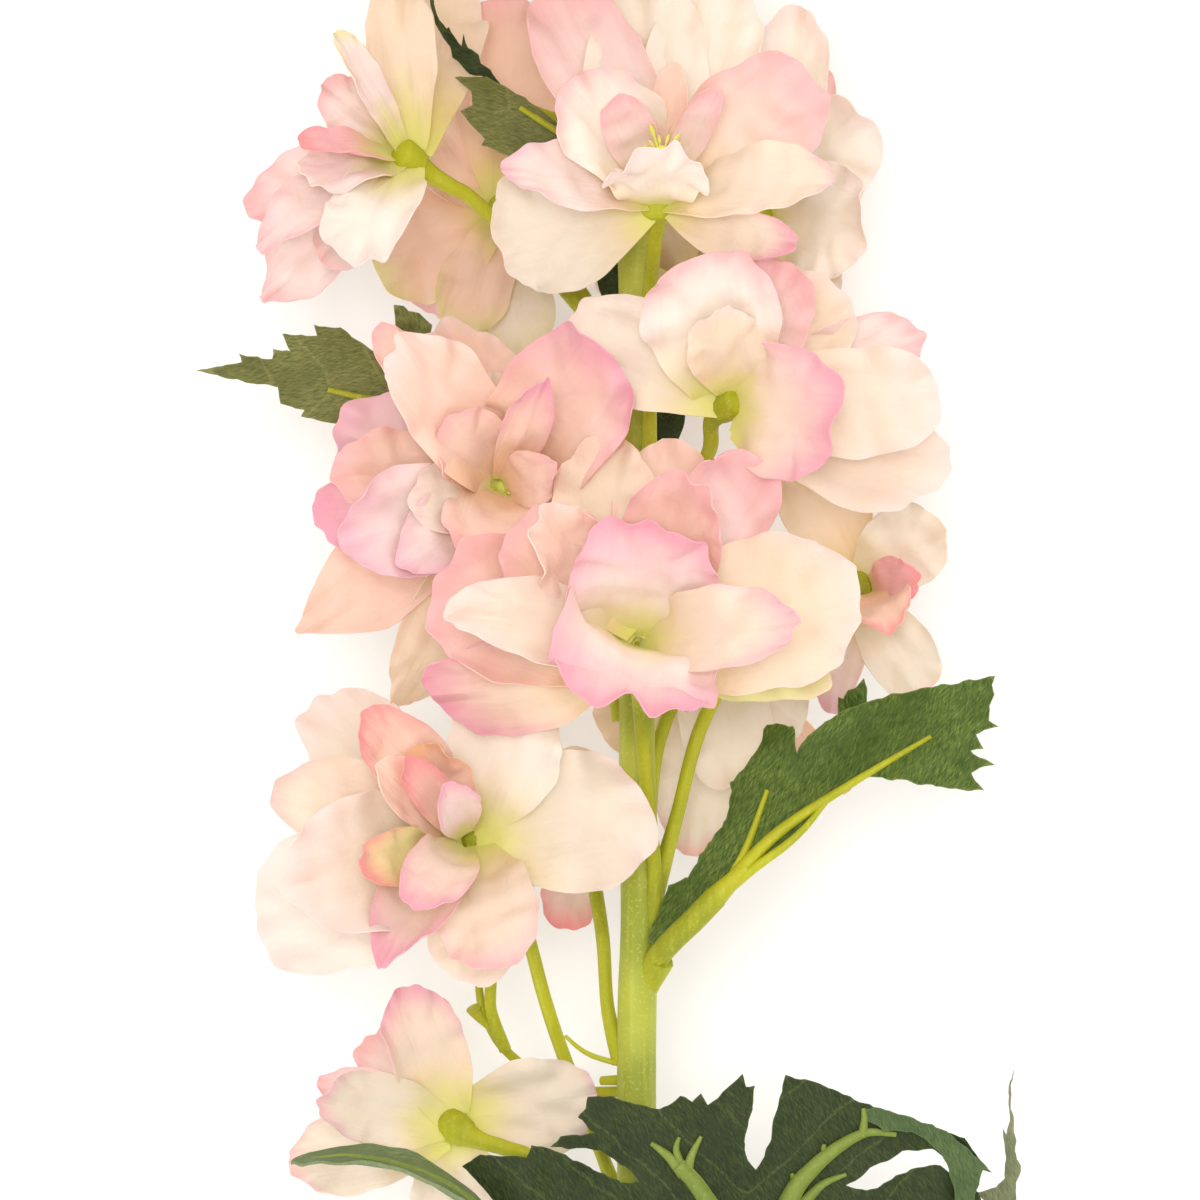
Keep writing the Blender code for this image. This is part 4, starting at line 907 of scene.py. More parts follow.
class Cloth:
    """Thin sheets gathered into one mesh, with what their dye needs to know."""

    def __init__(self):
        self.verts = []
        self.faces = []
        self.spots = []
        self.values = {}
        self.count = 0

    def sheet(self, points, thickness, spots, values):
        """A closed sheet about a grid of points, with a flat place and values for each point."""
        rows, columns, _ = points.shape
        normals = np.cross(np.gradient(points, axis=0), np.gradient(points, axis=1))
        normals[-1] = normals[-2]
        normals /= np.maximum(np.linalg.norm(normals, axis=2, keepdims=True), 1e-12)
        both = np.concatenate((points + normals * thickness / 2, points - normals * thickness / 2))
        self.verts.append(both.reshape(-1, 3))
        self.spots.append(np.concatenate((spots, spots)).reshape(-1, 2))
        for name, value in values.items():
            value = np.concatenate((value, value)).reshape(rows * columns * 2, -1)
            self.values.setdefault(name, []).append(value)
        index = np.arange(rows * columns).reshape(rows, columns) + self.count
        front = np.stack((index[:-1, :-1], index[:-1, 1:], index[1:, 1:], index[1:, :-1]), axis=-1)
        front = front.reshape(-1, 4)
        behind = rows * columns
        rim = np.concatenate((index[0], index[1:, -1], index[-1, -2::-1], index[-2:0:-1, 0]))
        after = np.roll(rim, -1)
        edge = np.stack((rim, rim + behind, after + behind, after), axis=-1)
        self.faces += [front[:, ::-1], front + behind, edge[:, ::-1]]
        self.count += rows * columns * 2

    def piece(self, name, finish):
        """The mesh object of all the sheets."""
        mesh = bpy.data.meshes.new(name)
        mesh.from_pydata(np.concatenate(self.verts).tolist(), [], np.concatenate(self.faces).tolist())
        lay_flat(mesh, np.concatenate(self.spots))
        for label, value in self.values.items():
            value = np.concatenate(value)
            kind, field = ("FLOAT", "value") if value.shape[1] == 1 else ("FLOAT_COLOR", "color")
            mesh.attributes.new(label, kind, "POINT").data.foreach_set(field, value.ravel())
        mesh.materials.append(finish)
        smooth_skin(mesh)
        return placed(name, mesh)


def lay_flat(mesh, spots):
    """Keep each point's place on the flat cloth as a UV map."""
    corners = np.zeros(len(mesh.loops), np.int32)
    mesh.loops.foreach_get("vertex_index", corners)
    mesh.uv_layers.new(name="cut").data.foreach_set("uv", spots[corners].ravel())


def petal_fabric():
    """Fine woven satin: dyed edge, yellow-green root, painted warm shade toward the root, faint pleats
    from the root and a tiny weave.
    """
    material, bench = finish_of("petal fabric")
    flat = bench.node("ShaderNodeUVMap", {"uv_map": "cut"})
    across, along, _ = bench.parts(flat)
    rim = bench.attribute("rim")
    reach = bench.attribute("reach")
    lime = bench.attribute("lime")
    body = bench.attribute("body", "Color")
    edge = bench.attribute("edge", "Color")
    cloud = bench.grain(180, 3)
    fibre = bench.grain(34, 3, flat, (1, 0.10, 1))
    fan = bench.grain(9, 2, flat, (1, 0.16, 1))
    uneven = (cloud - 0.5) * 0.38 + (fan - 0.5) * 0.3
    dyed = (rim + uneven).rise(1.0 - reach * 1.25, 1.25 - reach * 0.3)
    colour = bench.blend(dyed * 0.9, body, edge)
    # Painted shade: warmer and darker toward the root, for the light that bounces deep in the bloom
    painted_shade_share = (0.52 - along + uneven * 0.5).rise(0.0, 0.45)
    colour = bench.blend(painted_shade_share * 0.75, colour, dye(PAINTED_SHADE_TINT), "MULTIPLY")
    centre = (across - bench.attribute("middle")).size()
    root = (lime - along - centre * lime * 0.7 + uneven * lime * 0.9) / lime
    colour = bench.blend(root.rise(0.0, 1.0) * 0.92, colour, dye(ROOT_DYE))
    colour = bench.blend(fibre.rise(0.35, 0.8) * 0.05, colour, dye(THREAD_DYE), "MULTIPLY")
    glow = bench.blend(1.0, colour, dye(THROUGH_DYE), "MULTIPLY")
    warp = (across * WARP).wave() * 0.5 + 0.5
    weft = (along * WEFT).wave() * 0.5 + 0.5
    crumple = bench.raised(bench.grain(240, 3), 0.0010, 0.4)
    pleats = bench.raised(fan * 0.93 + fibre * 0.07, 0.0012, 0.26, crumple)
    weave = bench.raised(warp * weft, 0.00003, 0.35, pleats)
    inputs = {
        "Base Color": colour,
        "Roughness": 0.62,
        "Normal": weave,
        "Specular IOR Level": 0.25,
        "Sheen Weight": 0.25,
        "Sheen Roughness": 0.5,
    }
    front = bench.node("ShaderNodeBsdfPrincipled", None, inputs)
    through = bench.node("ShaderNodeBsdfTranslucent", None, {"Color": glow, "Normal": weave})
    close_finish(bench, bench.node("ShaderNodeMixShader", None, {0: LIGHT_THROUGH, 1: front, 2: through}))
    return material


petal_finish = petal_fabric()
keep_apart(blooms)
for number, letter in enumerate(RULED):
    ruled_extras(blooms[letter], RULED[letter][3], SEED + 40 + number)
for number, (letter, bloom) in enumerate(blooms.items()):
    cloth = Cloth()
    grid = (RULED_STATIONS, RULED_ACROSS) if letter in RULED else (STATIONS, ACROSS)
    cut = petal_cut(*grid, ROOT_WIDTHS.get(letter, ROOT_WIDTH))
    for place, petal in enumerate(bloom["petals"]):
        dice = random.Random(SEED * 100 + number * 40 + place)
        strength = RUFFLE * FRILLS.get(letter, 1.0) * (0.5 if petal["layer"] == 2 else 1.0)
        points = petal_surface(petal_root(bloom, petal), petal, cut, dice, strength)
        points = confined(points, bloom)
        s, a, rim, _ = cut
        middle = 0.5 + number + place * 0.07
        spots = np.stack((a * 0.5 + middle, s), axis=-1)
        late = np.clip((s - EDGE_FROM) / (1 - EDGE_FROM), 0, 1)
        size = s.shape
        values = {
            "rim": late * TIP_SHARE + rim**2.5 * np.clip(s / 0.6, 0, 1) * (1 - TIP_SHARE),
            "reach": np.full(size, petal["reach"]),
            "lime": np.full(size, LIMES.get(letter, PLAIN_LIME)),
            "middle": np.full(size, middle),
            "body": np.broadcast_to(dye(TONES[petal["body"]]), size + (4,)),
            "edge": np.broadcast_to(dye(TONES[petal["edge"]]), size + (4,)),
        }
        cloth.sheet(points, PETAL_THICKNESS, spots, values)
    flower = cloth.piece("petals_" + letter, petal_finish)
    settle(flower)
    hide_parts("bloom_" + letter)

# Flower stalks: the same plastic as the stem and moulded on it, each flaring into a small green cup
# that its flower is pushed into.
STALK_RADIUS = 1.15 * MM
STALK = (0.68, 0.68, 0.10)
STALK_PALE = (0.78, 0.77, 0.28)
STALK_DEEP = (0.53, 0.55, 0.06)

# A cup from its rim down to its stalk: places as shares of its length, and girths
CUP_RADIUS = 2.8 * MM
CUP_SIZES = {"a": 0.95, "h": 0.9, "d": 0.85, "f": 0.6, "g": 0.7}
CUP_PLACES = (0.1, 0.25, 0.55, 1.0)
CUP_GIRTHS = (1.12, 0.98, 0.76, 0.56)
CUP_TOP = -0.12

# In these blooms a dome closes the cup, and the others have a neck up to their heart
CLOSED = "acdfghijkm"
CLOSED_TOP = -0.3
CLOSED_TOPS = {"f": 0.05, "g": -0.1}
DOME_PLACES = (0.2, 0.13)
DOME_GIRTHS = (0.3, 0.8)
NECK_RADIUS = 0.9 * MM
NECK_FOOT = 1.5 * MM
HEART_RISES = {"b": 11, "e": 1}
HEART_RISE = 4.5
stalk_finish = moulded_plastic("stalk plastic", STALK, STALK_PALE, STALK_DEEP, 0.00004)
paths = []
girths = []
for letter, bloom in blooms.items():
    seat = bloom["seat"]
    axis = bloom["axis"]
    bloom["heart"] = seat + axis * HEART_RISES.get(letter, HEART_RISE) * MM
    if letter in CLOSED:
        top = CLOSED_TOPS.get(letter, CLOSED_TOP)
        neck = []
        stations = [top - share for share in DOME_PLACES] + [top]
        shares = DOME_GIRTHS + CUP_GIRTHS
    else:
        neck = [bloom["heart"], seat + axis * NECK_FOOT]
        stations = [CUP_TOP]
        shares = CUP_GIRTHS
    onward = [place for place in bloom["stalk"] if np.linalg.norm(place - seat) > CUP_LENGTH * 1.25]
    toward = unit(onward[0] - seat)
    cup = []
    for share in (*stations, *CUP_PLACES):
        way = toward * max(share, 0) - axis * (1 - max(share, 0))
        cup.append(seat + unit(way) * CUP_LENGTH * share)
    paths.append(neck + cup + onward)
    size = CUP_RADIUS * CUP_SIZES.get(letter, 1.0)
    flare = [size * share for share in shares] + [STALK_RADIUS * 1.1]
    stalk = [STALK_RADIUS] * (len(onward) - 1) + [STALK_RADIUS * 1.5]
    girths.append([NECK_RADIUS] * len(neck) + flare + stalk)
stalks = wire_frame("flower_stalks", paths, girths)
grow(stalks, tube, {"Sides": 14, "Steps": 7, "Seam": 0.07, "Material": stalk_finish})
settle(stalks)

# Hearts of the flowers: a short yellow-green knob that the petals are threaded on, with a tuft of
# fine moulded stamens.
HEART_RADIUS = 2.1 * MM
STAMENS = 14
STAMEN_LENGTH = 6 * MM
STAMEN_LEANS = (0.25, 0.75)
STAMEN_SIZES = (0.65, 1.1)
GOLDEN_TURN = 2.39996


def heart_tree():
    """On every point, a knob and a tuft of leaning stamens about the point's axis."""
    entries = (
        ("Points", "Geometry"),
        ("Knob radius", "Float"),
        ("Stamens", "Int"),
        ("Stamen length", "Float"),
        ("Lean", "Float"),
        ("Seed", "Int"),
        ("Material", "Material"),
    )
    tree, bench, given = growing_tree("flower heart", entries)
    seed = given.other("Seed")
    vector = {"data_type": "FLOAT_VECTOR"}
    axis = bench.node("GeometryNodeInputNamedAttribute", vector, {"Name": "axis"})
    upright = {"axis": "Z"}
    turn = bench.node("FunctionNodeAlignRotationToVector", upright, {"Factor": 1.0, "Vector": axis})
    inputs = {"Segments": 12, "Rings": 7, "Radius": given.other("Knob radius")}
    knob = bench.node("GeometryNodeMeshUVSphere", None, inputs)
    inputs = {"Points": given, "Instance": knob, "Rotation": turn, "Scale": (1, 1, 1.5)}
    knobs = bench.node("GeometryNodeInstanceOnPoints", None, inputs)
    inputs = {0: given, 2: given.other("Stamens")}
    spread = bench.node("GeometryNodeDuplicateElements", {"domain": "POINT"}, inputs)
    index = spread.other("Duplicate Index")
    ranks = bench.node("GeometryNodeInputIndex")
    random_lean = {2: STAMEN_LEANS[0], 3: given.other("Lean"), "ID": ranks, "Seed": seed}
    lean = bench.node("FunctionNodeRandomValue", None, random_lean, 1)
    random_size = {2: STAMEN_SIZES[0], 3: STAMEN_SIZES[1], "ID": ranks, "Seed": seed + 1}
    size = bench.node("FunctionNodeRandomValue", None, random_size, 1)
    inputs = {"Axis": (0, 0, 1), "Angle": index * GOLDEN_TURN}
    around = bench.node("FunctionNodeAxisAngleToRotation", None, inputs)
    over = bench.node("FunctionNodeAxisAngleToRotation", None, {"Axis": (1, 0, 0), "Angle": lean})
    local = {"rotation_space": "LOCAL"}
    about = bench.node("FunctionNodeRotateRotation", local, {"Rotation": turn, "Rotate By": around})
    tilt = bench.node("FunctionNodeRotateRotation", local, {"Rotation": about, "Rotate By": over})
    inputs = {"Start": (0, 0, 0), "End": (0, 0, 1)}
    line = bench.node("GeometryNodeCurvePrimitiveLine", None, inputs)
    line = bench.node("GeometryNodeResampleCurve", None, {"Curve": line, "Count": 7})
    factor = bench.node("GeometryNodeSplineParameter")
    bow = bench.node("ShaderNodeCombineXYZ", None, {"Y": factor * factor * -0.18})
    line = bench.node("GeometryNodeSetPosition", None, {"Geometry": line, "Offset": bow})
    anther = factor.rise(0.78, 0.86) * (1.0 - factor.rise(0.93, 1.0))
    girth = 0.035 + anther * 0.06
    profile = bench.node("GeometryNodeCurvePrimitiveCircle", None, {"Resolution": 6, "Radius": 1.0})
    inputs = {"Curve": line, "Profile Curve": profile, "Scale": girth, "Fill Caps": True}
    stamen = bench.node("GeometryNodeCurveToMesh", None, inputs)
    inputs = {
        "Points": spread,
        "Instance": stamen,
        "Rotation": tilt,
        "Scale": size * given.other("Stamen length"),
    }
    tufts = bench.node("GeometryNodeInstanceOnPoints", None, inputs)
    both = bench.node("GeometryNodeJoinGeometry", None, {"Geometry": knobs})
    bench.tree.links.new(tufts.socket, both.socket.node.inputs["Geometry"])
    close_tree(bench, both, given.other("Material"))
    return tree


def heart_plastic():
    """Yellow-green plastic with a dusting of pale specks."""
    material, bench = finish_of("heart plastic")
    specks = bench.grain(2200, 2)
    colour = bench.blend(bench.grain(160), dye((0.78, 0.80, 0.24)), dye((0.88, 0.86, 0.45)))
    colour = bench.blend(specks.rise(0.6, 0.75), colour, dye((0.94, 0.90, 0.55)))
    inputs = {"Base Color": colour, "Roughness": 0.5, "Normal": bench.raised(specks, 0.00008, 0.6)}
    close_finish(bench, bench.node("ShaderNodeBsdfPrincipled", None, inputs))
    return material


def pointed(name, places, ways):
    """Loose points, each with an axis."""
    mesh = bpy.data.meshes.new(name)
    mesh.from_pydata([tuple(place) for place in places], [], [])
    axes = np.array(ways, np.float32).ravel()
    mesh.attributes.new("axis", "FLOAT_VECTOR", "POINT").data.foreach_set("vector", axes)
    return placed(name, mesh)


heart_inputs = {
    "Knob radius": HEART_RADIUS,
    "Stamens": STAMENS,
    "Stamen length": STAMEN_LENGTH,
    "Lean": STAMEN_LEANS[1],
    "Seed": 5,
    "Material": heart_plastic(),
}
open_blooms = [bloom for letter, bloom in blooms.items() if letter not in CLOSED]
places = [bloom["heart"] for bloom in open_blooms]
hearts = pointed("flower_hearts", places, [bloom["axis"] for bloom in open_blooms])
grow(hearts, heart_tree(), heart_inputs)
settle(hearts)

# Buds at the end of the spike: closed green flowers on short stalks, smaller toward the tip, with
# five creases where their petals meet and a flush of pink at their points.
BUD_COUNT = 13
BUDS_FROM = 262
BUDS_TO = 346
BUD_TURN = 137.5
BUD_RADII = (4.6, 2.0)
BUD_REACH = (13, 3.5)
BUD_CREASES = 5
CREASE_WIDTH = 0.35


def bud_fabric():
    """Cream-green bud: green at its base, pink at its point, darker in the creases."""
    material, bench = finish_of("bud fabric")
    along = bench.attribute("height")
    crease = bench.attribute("crease")
    cloud = bench.grain(220, 3)
    low = (along + (cloud - 0.5) * 0.3).rise(0.15, 0.62)
    colour = bench.blend(low, dye((0.60, 0.68, 0.25)), dye((0.93, 0.91, 0.70)))
    high = (along + (cloud - 0.5) * 0.3).rise(0.6, 1.0)
    colour = bench.blend(high * 0.8, colour, dye((0.96, 0.72, 0.74)))
    colour = bench.blend(crease * 0.5, colour, dye((0.62, 0.64, 0.30)), "MULTIPLY")
    fibre = bench.grain(1400, 2)
    inputs = {"Base Color": colour, "Roughness": 0.6, "Normal": bench.raised(fibre, 0.0001, 0.5)}
    close_finish(bench, bench.node("ShaderNodeBsdfPrincipled", None, inputs))
    return material


def bud_tree():
    """On every point, a closed bud about the point's axis, as large as the point says."""
    entries = (
        ("Points", "Geometry"),
        ("Slimness", "Float"),
        ("Crease depth", "Float"),
        ("Material", "Material"),
    )
    tree, bench, given = growing_tree("closed bud", entries)
    ball = bench.node("GeometryNodeMeshUVSphere", None, {"Segments": 30, "Rings": 16, "Radius": 1.0})
    x, y, z = bench.parts(bench.node("GeometryNodeInputPosition"))
    around = bench.node("ShaderNodeMath", {"operation": "ARCTAN2"}, {0: y, 1: x})
    height = z * 0.5 + 0.5
    crease = 1.0 - (around * (BUD_CREASES / 2)).wave().size() ** CREASE_WIDTH
    twist = (around * (BUD_CREASES / 2) + height * 1.2).wave().size() ** CREASE_WIDTH
    slim = 1.0 - height * height * 0.45
    scale = slim * (1.0 - (1.0 - twist) * given.other("Crease depth"))
    inputs = {"X": x * scale, "Y": y * scale, "Z": z * given.other("Slimness") + height ** 6 * 0.35}
    place = bench.node("ShaderNodeCombineXYZ", None, inputs)
    numbers = {"data_type": "FLOAT"}
    for name, value in (("height", height), ("crease", crease)):
        inputs = {"Geometry": ball, "Name": name, "Value": value}
        ball = bench.node("GeometryNodeStoreNamedAttribute", numbers, inputs)
    ball = bench.node("GeometryNodeSetPosition", None, {"Geometry": ball, "Position": place})
    vector = {"data_type": "FLOAT_VECTOR"}
    axis = bench.node("GeometryNodeInputNamedAttribute", vector, {"Name": "axis"})
    size = bench.node("GeometryNodeInputNamedAttribute", numbers, {"Name": "size"})
    upright = {"axis": "Z"}
    turn = bench.node("FunctionNodeAlignRotationToVector", upright, {"Factor": 1.0, "Vector": axis})
    inputs = {"Points": given, "Instance": ball, "Rotation": turn, "Scale": size}
    close_tree(bench, bench.node("GeometryNodeInstanceOnPoints", None, inputs), given.other("Material"))
    return tree


places = []
ways = []
sizes = []
paths = []
for number in range(BUD_COUNT):
    share = number / (BUD_COUNT - 1)
    along = (BUDS_FROM + (BUDS_TO - BUDS_FROM) * share) * MM
    angle = math.radians(BUD_TURN * (number + 1))
    radial = np.array((math.cos(angle), 0, math.sin(angle)))
    start, _ = stem_point(along)
    reach = (BUD_REACH[0] + (BUD_REACH[1] - BUD_REACH[0]) * share) * MM
    size = (BUD_RADII[0] + (BUD_RADII[1] - BUD_RADII[0]) * share) * MM
    seat = start + (radial + AHEAD * SPREAD) * reach
    way = unit(radial * 0.7 + AHEAD * 0.7)
    places.append(seat + way * size * 1.3)
    ways.append(way)
    sizes.append(size)
    paths.append([start, start + (seat - start) * 0.5 + radial * 0.6 * MM, seat, seat + way * size * 0.4])
buds = pointed("buds", places, ways)
buds.data.attributes.new("size", "FLOAT", "POINT").data.foreach_set("value", sizes)
grow(buds, bud_tree(), {"Slimness": 1.35, "Crease depth": 0.22, "Material": bud_fabric()})
settle(buds)
bud_stalks = wire_frame("bud_stalks", paths, [[1.1 * MM, 0.8 * MM, 0.9 * MM, 1.7 * MM]] * BUD_COUNT)
grow(bud_stalks, tube, {"Sides": 12, "Steps": 6, "Seam": 0.05, "Material": stalk_finish})
settle(bud_stalks)

# Leaves: dark green fabric with a fibrous face, cut to toothed lobes and pressed into a soft wave,
# each glued to a moulded yellow-green rib that grows from the stem.
LEAF_THICKNESS = 0.5 * MM
LEAF_OFFSET = 0.7 * MM
LEAF_STEP = 5
LEAF_WAVE = 0.9
RIB_HOLD = 45
EDGE_BAND = 9
NICK = 2.2
NICK_SPAN = 130
FIBRES = (55, 330, 1)
FIBRE_CROSSING = 0.5
LEAF_LIGHT_THROUGH = 0.12
STRAP_STATIONS = 24
STRAP_ACROSS = 13
STRAP_RUFFLE = 0.03
SPINE_STEP = 3
SPINE_RADII = (1.1, 0.3)

# Root, tip, heights of both, sideways tilt and fold, outline
LEAVES = {
    "left": (
        (400, 400, 1.0), (197, 371, 0.2), 0, -0.02,
        ((197, 371), (241, 362), (238, 354), (272, 360), (273, 350), (291, 351), (282, 334), (316, 337),
         (315, 325), (340, 328), (379, 354), (391, 395), (402, 401), (391, 407), (337, 424), (302, 416),
         (305, 411), (281, 403), (277, 387), (232, 379)),
    ),
    "upper": (
        (566, 140, 2.9), (455, 77, 2.0), 0, -0.03,
        ((455, 77), (487, 77), (525, 98), (564, 128), (566, 140), (564, 147), (509, 156), (482, 145),
         (485, 139), (460, 112), (473, 105), (471, 92)),
    ),
    "side": (
        (650, 944, 4.4), (997, 712, 15), 0.03, -0.03,
        ((648, 940), (667, 886), (689, 877), (703, 851), (728, 819), (731, 783), (755, 754), (767, 724),
         (785, 726), (794, 726), (797, 752), (810, 733), (835, 715), (867, 701), (912, 690), (964, 681),
         (995, 676), (989, 720), (998, 727), (976, 735), (983, 747), (971, 751), (993, 764), (971, 772),
         (985, 791), (946, 788), (903, 781), (856, 777), (836, 795), (824, 808), (806, 830), (784, 850),
         (752, 872), (726, 890), (660, 950)),
    ),
    "front": (
        (748, 1322, 8.6), (748, 1100, 11.5), 0, -0.008,
        ((463, 1167), (480, 1155), (527, 1157), (532, 1145), (561, 1153), (595, 1170), (622, 1184),
         (640, 1181), (625, 1167), (601, 1150), (551, 1148), (561, 1137), (595, 1133), (578, 1118),
         (586, 1108), (588, 1096), (608, 1096), (659, 1110), (681, 1096), (693, 1101), (701, 1094),
         (709, 1106), (742, 1074), (747, 1088), (755, 1086), (750, 1120), (743, 1140), (747, 1160),
         (757, 1169), (765, 1157), (777, 1110), (786, 1076), (824, 1085), (864, 1104), (917, 1122),
         (964, 1138), (981, 1161), (993, 1172), (960, 1166), (931, 1149), (903, 1151), (871, 1169),
         (847, 1186), (867, 1192), (910, 1169), (940, 1164), (978, 1192), (1000, 1236), (975, 1228),
         (968, 1246), (935, 1240), (930, 1262), (880, 1250), (850, 1290), (790, 1304), (748, 1322),
         (690, 1300), (620, 1262), (600, 1270), (560, 1232), (540, 1240), (500, 1205)),
    ),
    "front_fold": (
        (748, 1322, 9.7), (748, 1100, 12.6), 0, -0.008,
        ((862, 1103), (903, 1115), (942, 1129), (971, 1151), (992, 1172), (983, 1170), (978, 1186),
         (974, 1204), (964, 1214), (957, 1204), (949, 1169), (935, 1147), (912, 1132), (884, 1131),
         (868, 1120)),
    ),
    "tab": (
        (404, 358, -3), (394, 305, -2), 0, 0,
        ((394, 305), (404, 306), (409, 311), (419, 313), (432, 325), (428, 346), (414, 360), (404, 358),
         (399, 340), (396, 332)),
    ),
    "tall": (
        (500, 86, -1), (430, -20, 8), 0, -0.02,
        ((428, -20), (433, -14), (434, 4), (439, 20), (446, 29), (449, 27), (456, 40), (462, 46),
         (463, 34), (468, 48), (479, 54), (481, 64), (491, 70), (500, 84), (496, 88), (482, 76),
         (470, 74), (458, 62), (452, 58), (451, 47), (443, 38), (436, 24), (430, 6)),
    ),
    "shoulder": (
        (858, 742, 1), (864, 678, 2), 0, -0.02,
        ((838, 722), (838, 697), (843, 699), (848, 690), (855, 688), (864, 678), (867, 688), (867, 712),
         (866, 742), (850, 744)),
    ),
    "fin": (
        (1012, 1290, 3), (1013, 1071, 8), 0.2, 0,
        ((1015, 1069), (1011, 1090), (1011, 1108), (1014, 1126), (1016, 1142), (1016, 1160), (1022, 1166),
         (1017, 1182), (1016, 1200), (1020, 1212), (1016, 1240), (1014, 1290), (1009, 1290), (996, 1262),
         (1000, 1244), (984, 1222), (992, 1212), (976, 1192), (996, 1188), (1005, 1178), (1006, 1150),
         (1002, 1128), (1007, 1134), (1009, 1120), (1008, 1100), (1010, 1082)),
    ),
    "lower_right": (
        (660, 1400, -6), (905, 1300, -14), 0, -0.03,
        ((660, 1400), (700, 1345), (742, 1330), (760, 1296), (792, 1312), (842, 1268), (846, 1292),
         (905, 1300), (872, 1326), (884, 1350), (838, 1350), (836, 1382), (780, 1374), (742, 1408),
         (700, 1404)),
    ),
    "lower_left": (
        (614, 1440, -6), (400, 1330, -16), 0, -0.03,
        ((614, 1440), (560, 1432), (530, 1448), (500, 1412), (456, 1418), (450, 1384), (410, 1378),
         (424, 1352), (400, 1330), (446, 1326), (452, 1300), (494, 1318), (516, 1296), (546, 1344),
         (586, 1376)),
    ),
}

# Narrow leaves seen on edge or from behind, shaped as petals are: root, then tip and the rest
STRAPS = {
    "arch": ((520, 1256, 9), (290, 1163, 12, 68, 78, 75, 15, 15, 0, 1.1, 0)),
    "back_one": ((640, 332, -7), (612, 246, -10, 52, 0, 10, 10, 10, 0, 0.8, 0)),
    "back_two": ((648, 470, -7), (672, 388, -10, 44, 0, 10, 10, 10, 0, 0.8, 0)),
}

# Ribs, leaf stalks, stubs and tendrils: the leaf that one lies on, its places outward from the
# stem, and radii at both ends. A place with no height lies just over the leaf.
LIMBS = (
    (
        "side",
        ((643, 976, 0.5), (655, 959, 2.6), (671, 941, 5.4), (694, 919, 7.4), (716, 896, 7.6)),
        1.9, 1.9,
    ),
    (None, ((712, 900, 7.6), (728, 884, 7.8), (746, 867, 7.9)), 1.9, 1.0),
    ("side", ((730, 881), (778, 832), (850, 784), (931, 736)), 1.2, 0.35),
    ("side", ((722, 893), (745, 850), (767, 790)), 0.9, 0.35),
    ("side", ((722, 894), (752, 869), (784, 846), (806, 826), (824, 804), (838, 790)), 0.9, 0.3),
    (None, ((646, 962, 0), (692, 908, 2), (745, 868, 3), (815, 800, 3), (855, 742, 1)), 1.0, 0.4),
    (None, ((634, 1006, -0.4), (644, 984, 0.4), (655, 966, 1.6), (660, 958, 2.6)), 2.4, 2.3),
    ("left", ((634, 395, 0), (560, 404, 3), (470, 404, 3), (404, 401), (369, 399), (328, 390)), 1.0, 0.4),
    (None, ((440, 404, 3), (415, 380, -1), (399, 354, -3)), 0.8, 0.5),
    ("upper", ((634, 175, 0), (600, 150, 2), (568, 138), (520, 108)), 1.0, 0.4),
    (None, ((636, 120, 0), (560, 118, -3), (501, 93, -4)), 0.9, 0.5),
    (
        "front",
        ((638, 1480, 0), (690, 1400, 7), (748, 1316), (735, 1250), (700, 1190), (678, 1165)),
        2.0, 1.2,
    ),
    ("front", ((684, 1174), (668, 1156), (651, 1143)), 1.1, 0.35),
    ("front", ((682, 1168), (676, 1150), (679, 1137)), 0.8, 0.3),
    ("front", ((686, 1174), (691, 1156), (701, 1136)), 1.0, 0.3),
    ("front", ((746, 1300), (788, 1200), (812, 1168), (840, 1145), (867, 1132), (896, 1134)), 1.8, 0.4),
    ("front", ((802, 1204), (822, 1184), (846, 1174)), 1.0, 0.3),
    ("front", ((800, 1188), (794, 1180), (792, 1173)), 0.9, 0.3),
    ("front", ((830, 1156), (824, 1150), (824, 1144)), 0.8, 0.3),
    ("front", ((862, 1136), (864, 1120), (863, 1108)), 0.8, 0.3),
    (None, ((632, 1500, 0), (580, 1380, 6), (540, 1290, 9), (521, 1257, 9)), 1.6, 0.8),
    (None, ((715, 1360, 7), (850, 1340, 3), (960, 1320, 2), (1011, 1292, 3)), 1.0, 0.5),
    ("lower_right", ((634, 1470, 0), (650, 1415, -3), (700, 1382), (830, 1331)), 1.2, 0.4),
    ("lower_left", ((634, 1520, 0), (618, 1455, -3), (570, 1418), (450, 1356)), 1.2, 0.4),
    (None, ((640, 345, 0), (641, 334, -7)), 0.8, 0.5),
    (None, ((642, 480, 0), (648, 472, -7)), 0.8, 0.5),
    (None, ((636, 1068, 0), (590, 1055, 0), (565, 1036, 1)), 0.5, 0.3),
    (None, ((628, 1080, -1), (601, 1081, -3)), 0.9, 0.7),
    (
        None,
        ((628, 1092, -2), (560, 1088, -8), (505, 1050, -7), (483, 1010, -5), (478, 975, -4)),
        0.9, 0.6,
    ),
    (None, ((492, 1028, -6), (477, 1013, -5), (474, 1008, -4.6)), 0.8, 1.4),
    (None, ((505, 1050, -6.4), (492, 1016, -4.2), (490, 998, -3.4), (492, 966, -3)), 1.0, 0.9),
)


def leaf_shares(leaf, place):
    """How far along and across a leaf's midrib a grid place is."""
    root, tip, *_ = leaf
    run = np.array(tip[:2], float) - root[:2]
    length = np.linalg.norm(run)
    offset = np.asarray(place, float) - root[:2]
    return offset @ run / length**2, offset @ (-run[1], run[0]) / length


def leaf_height(leaf, place):
    """Height of a leaf's middle surface at a grid place: tilted and folded along its midrib."""
    root, tip, tilt, fold, _ = leaf
    share, across = leaf_shares(leaf, place)
    return root[2] + (tip[2] - root[2]) * share + tilt * across + fold * abs(across)


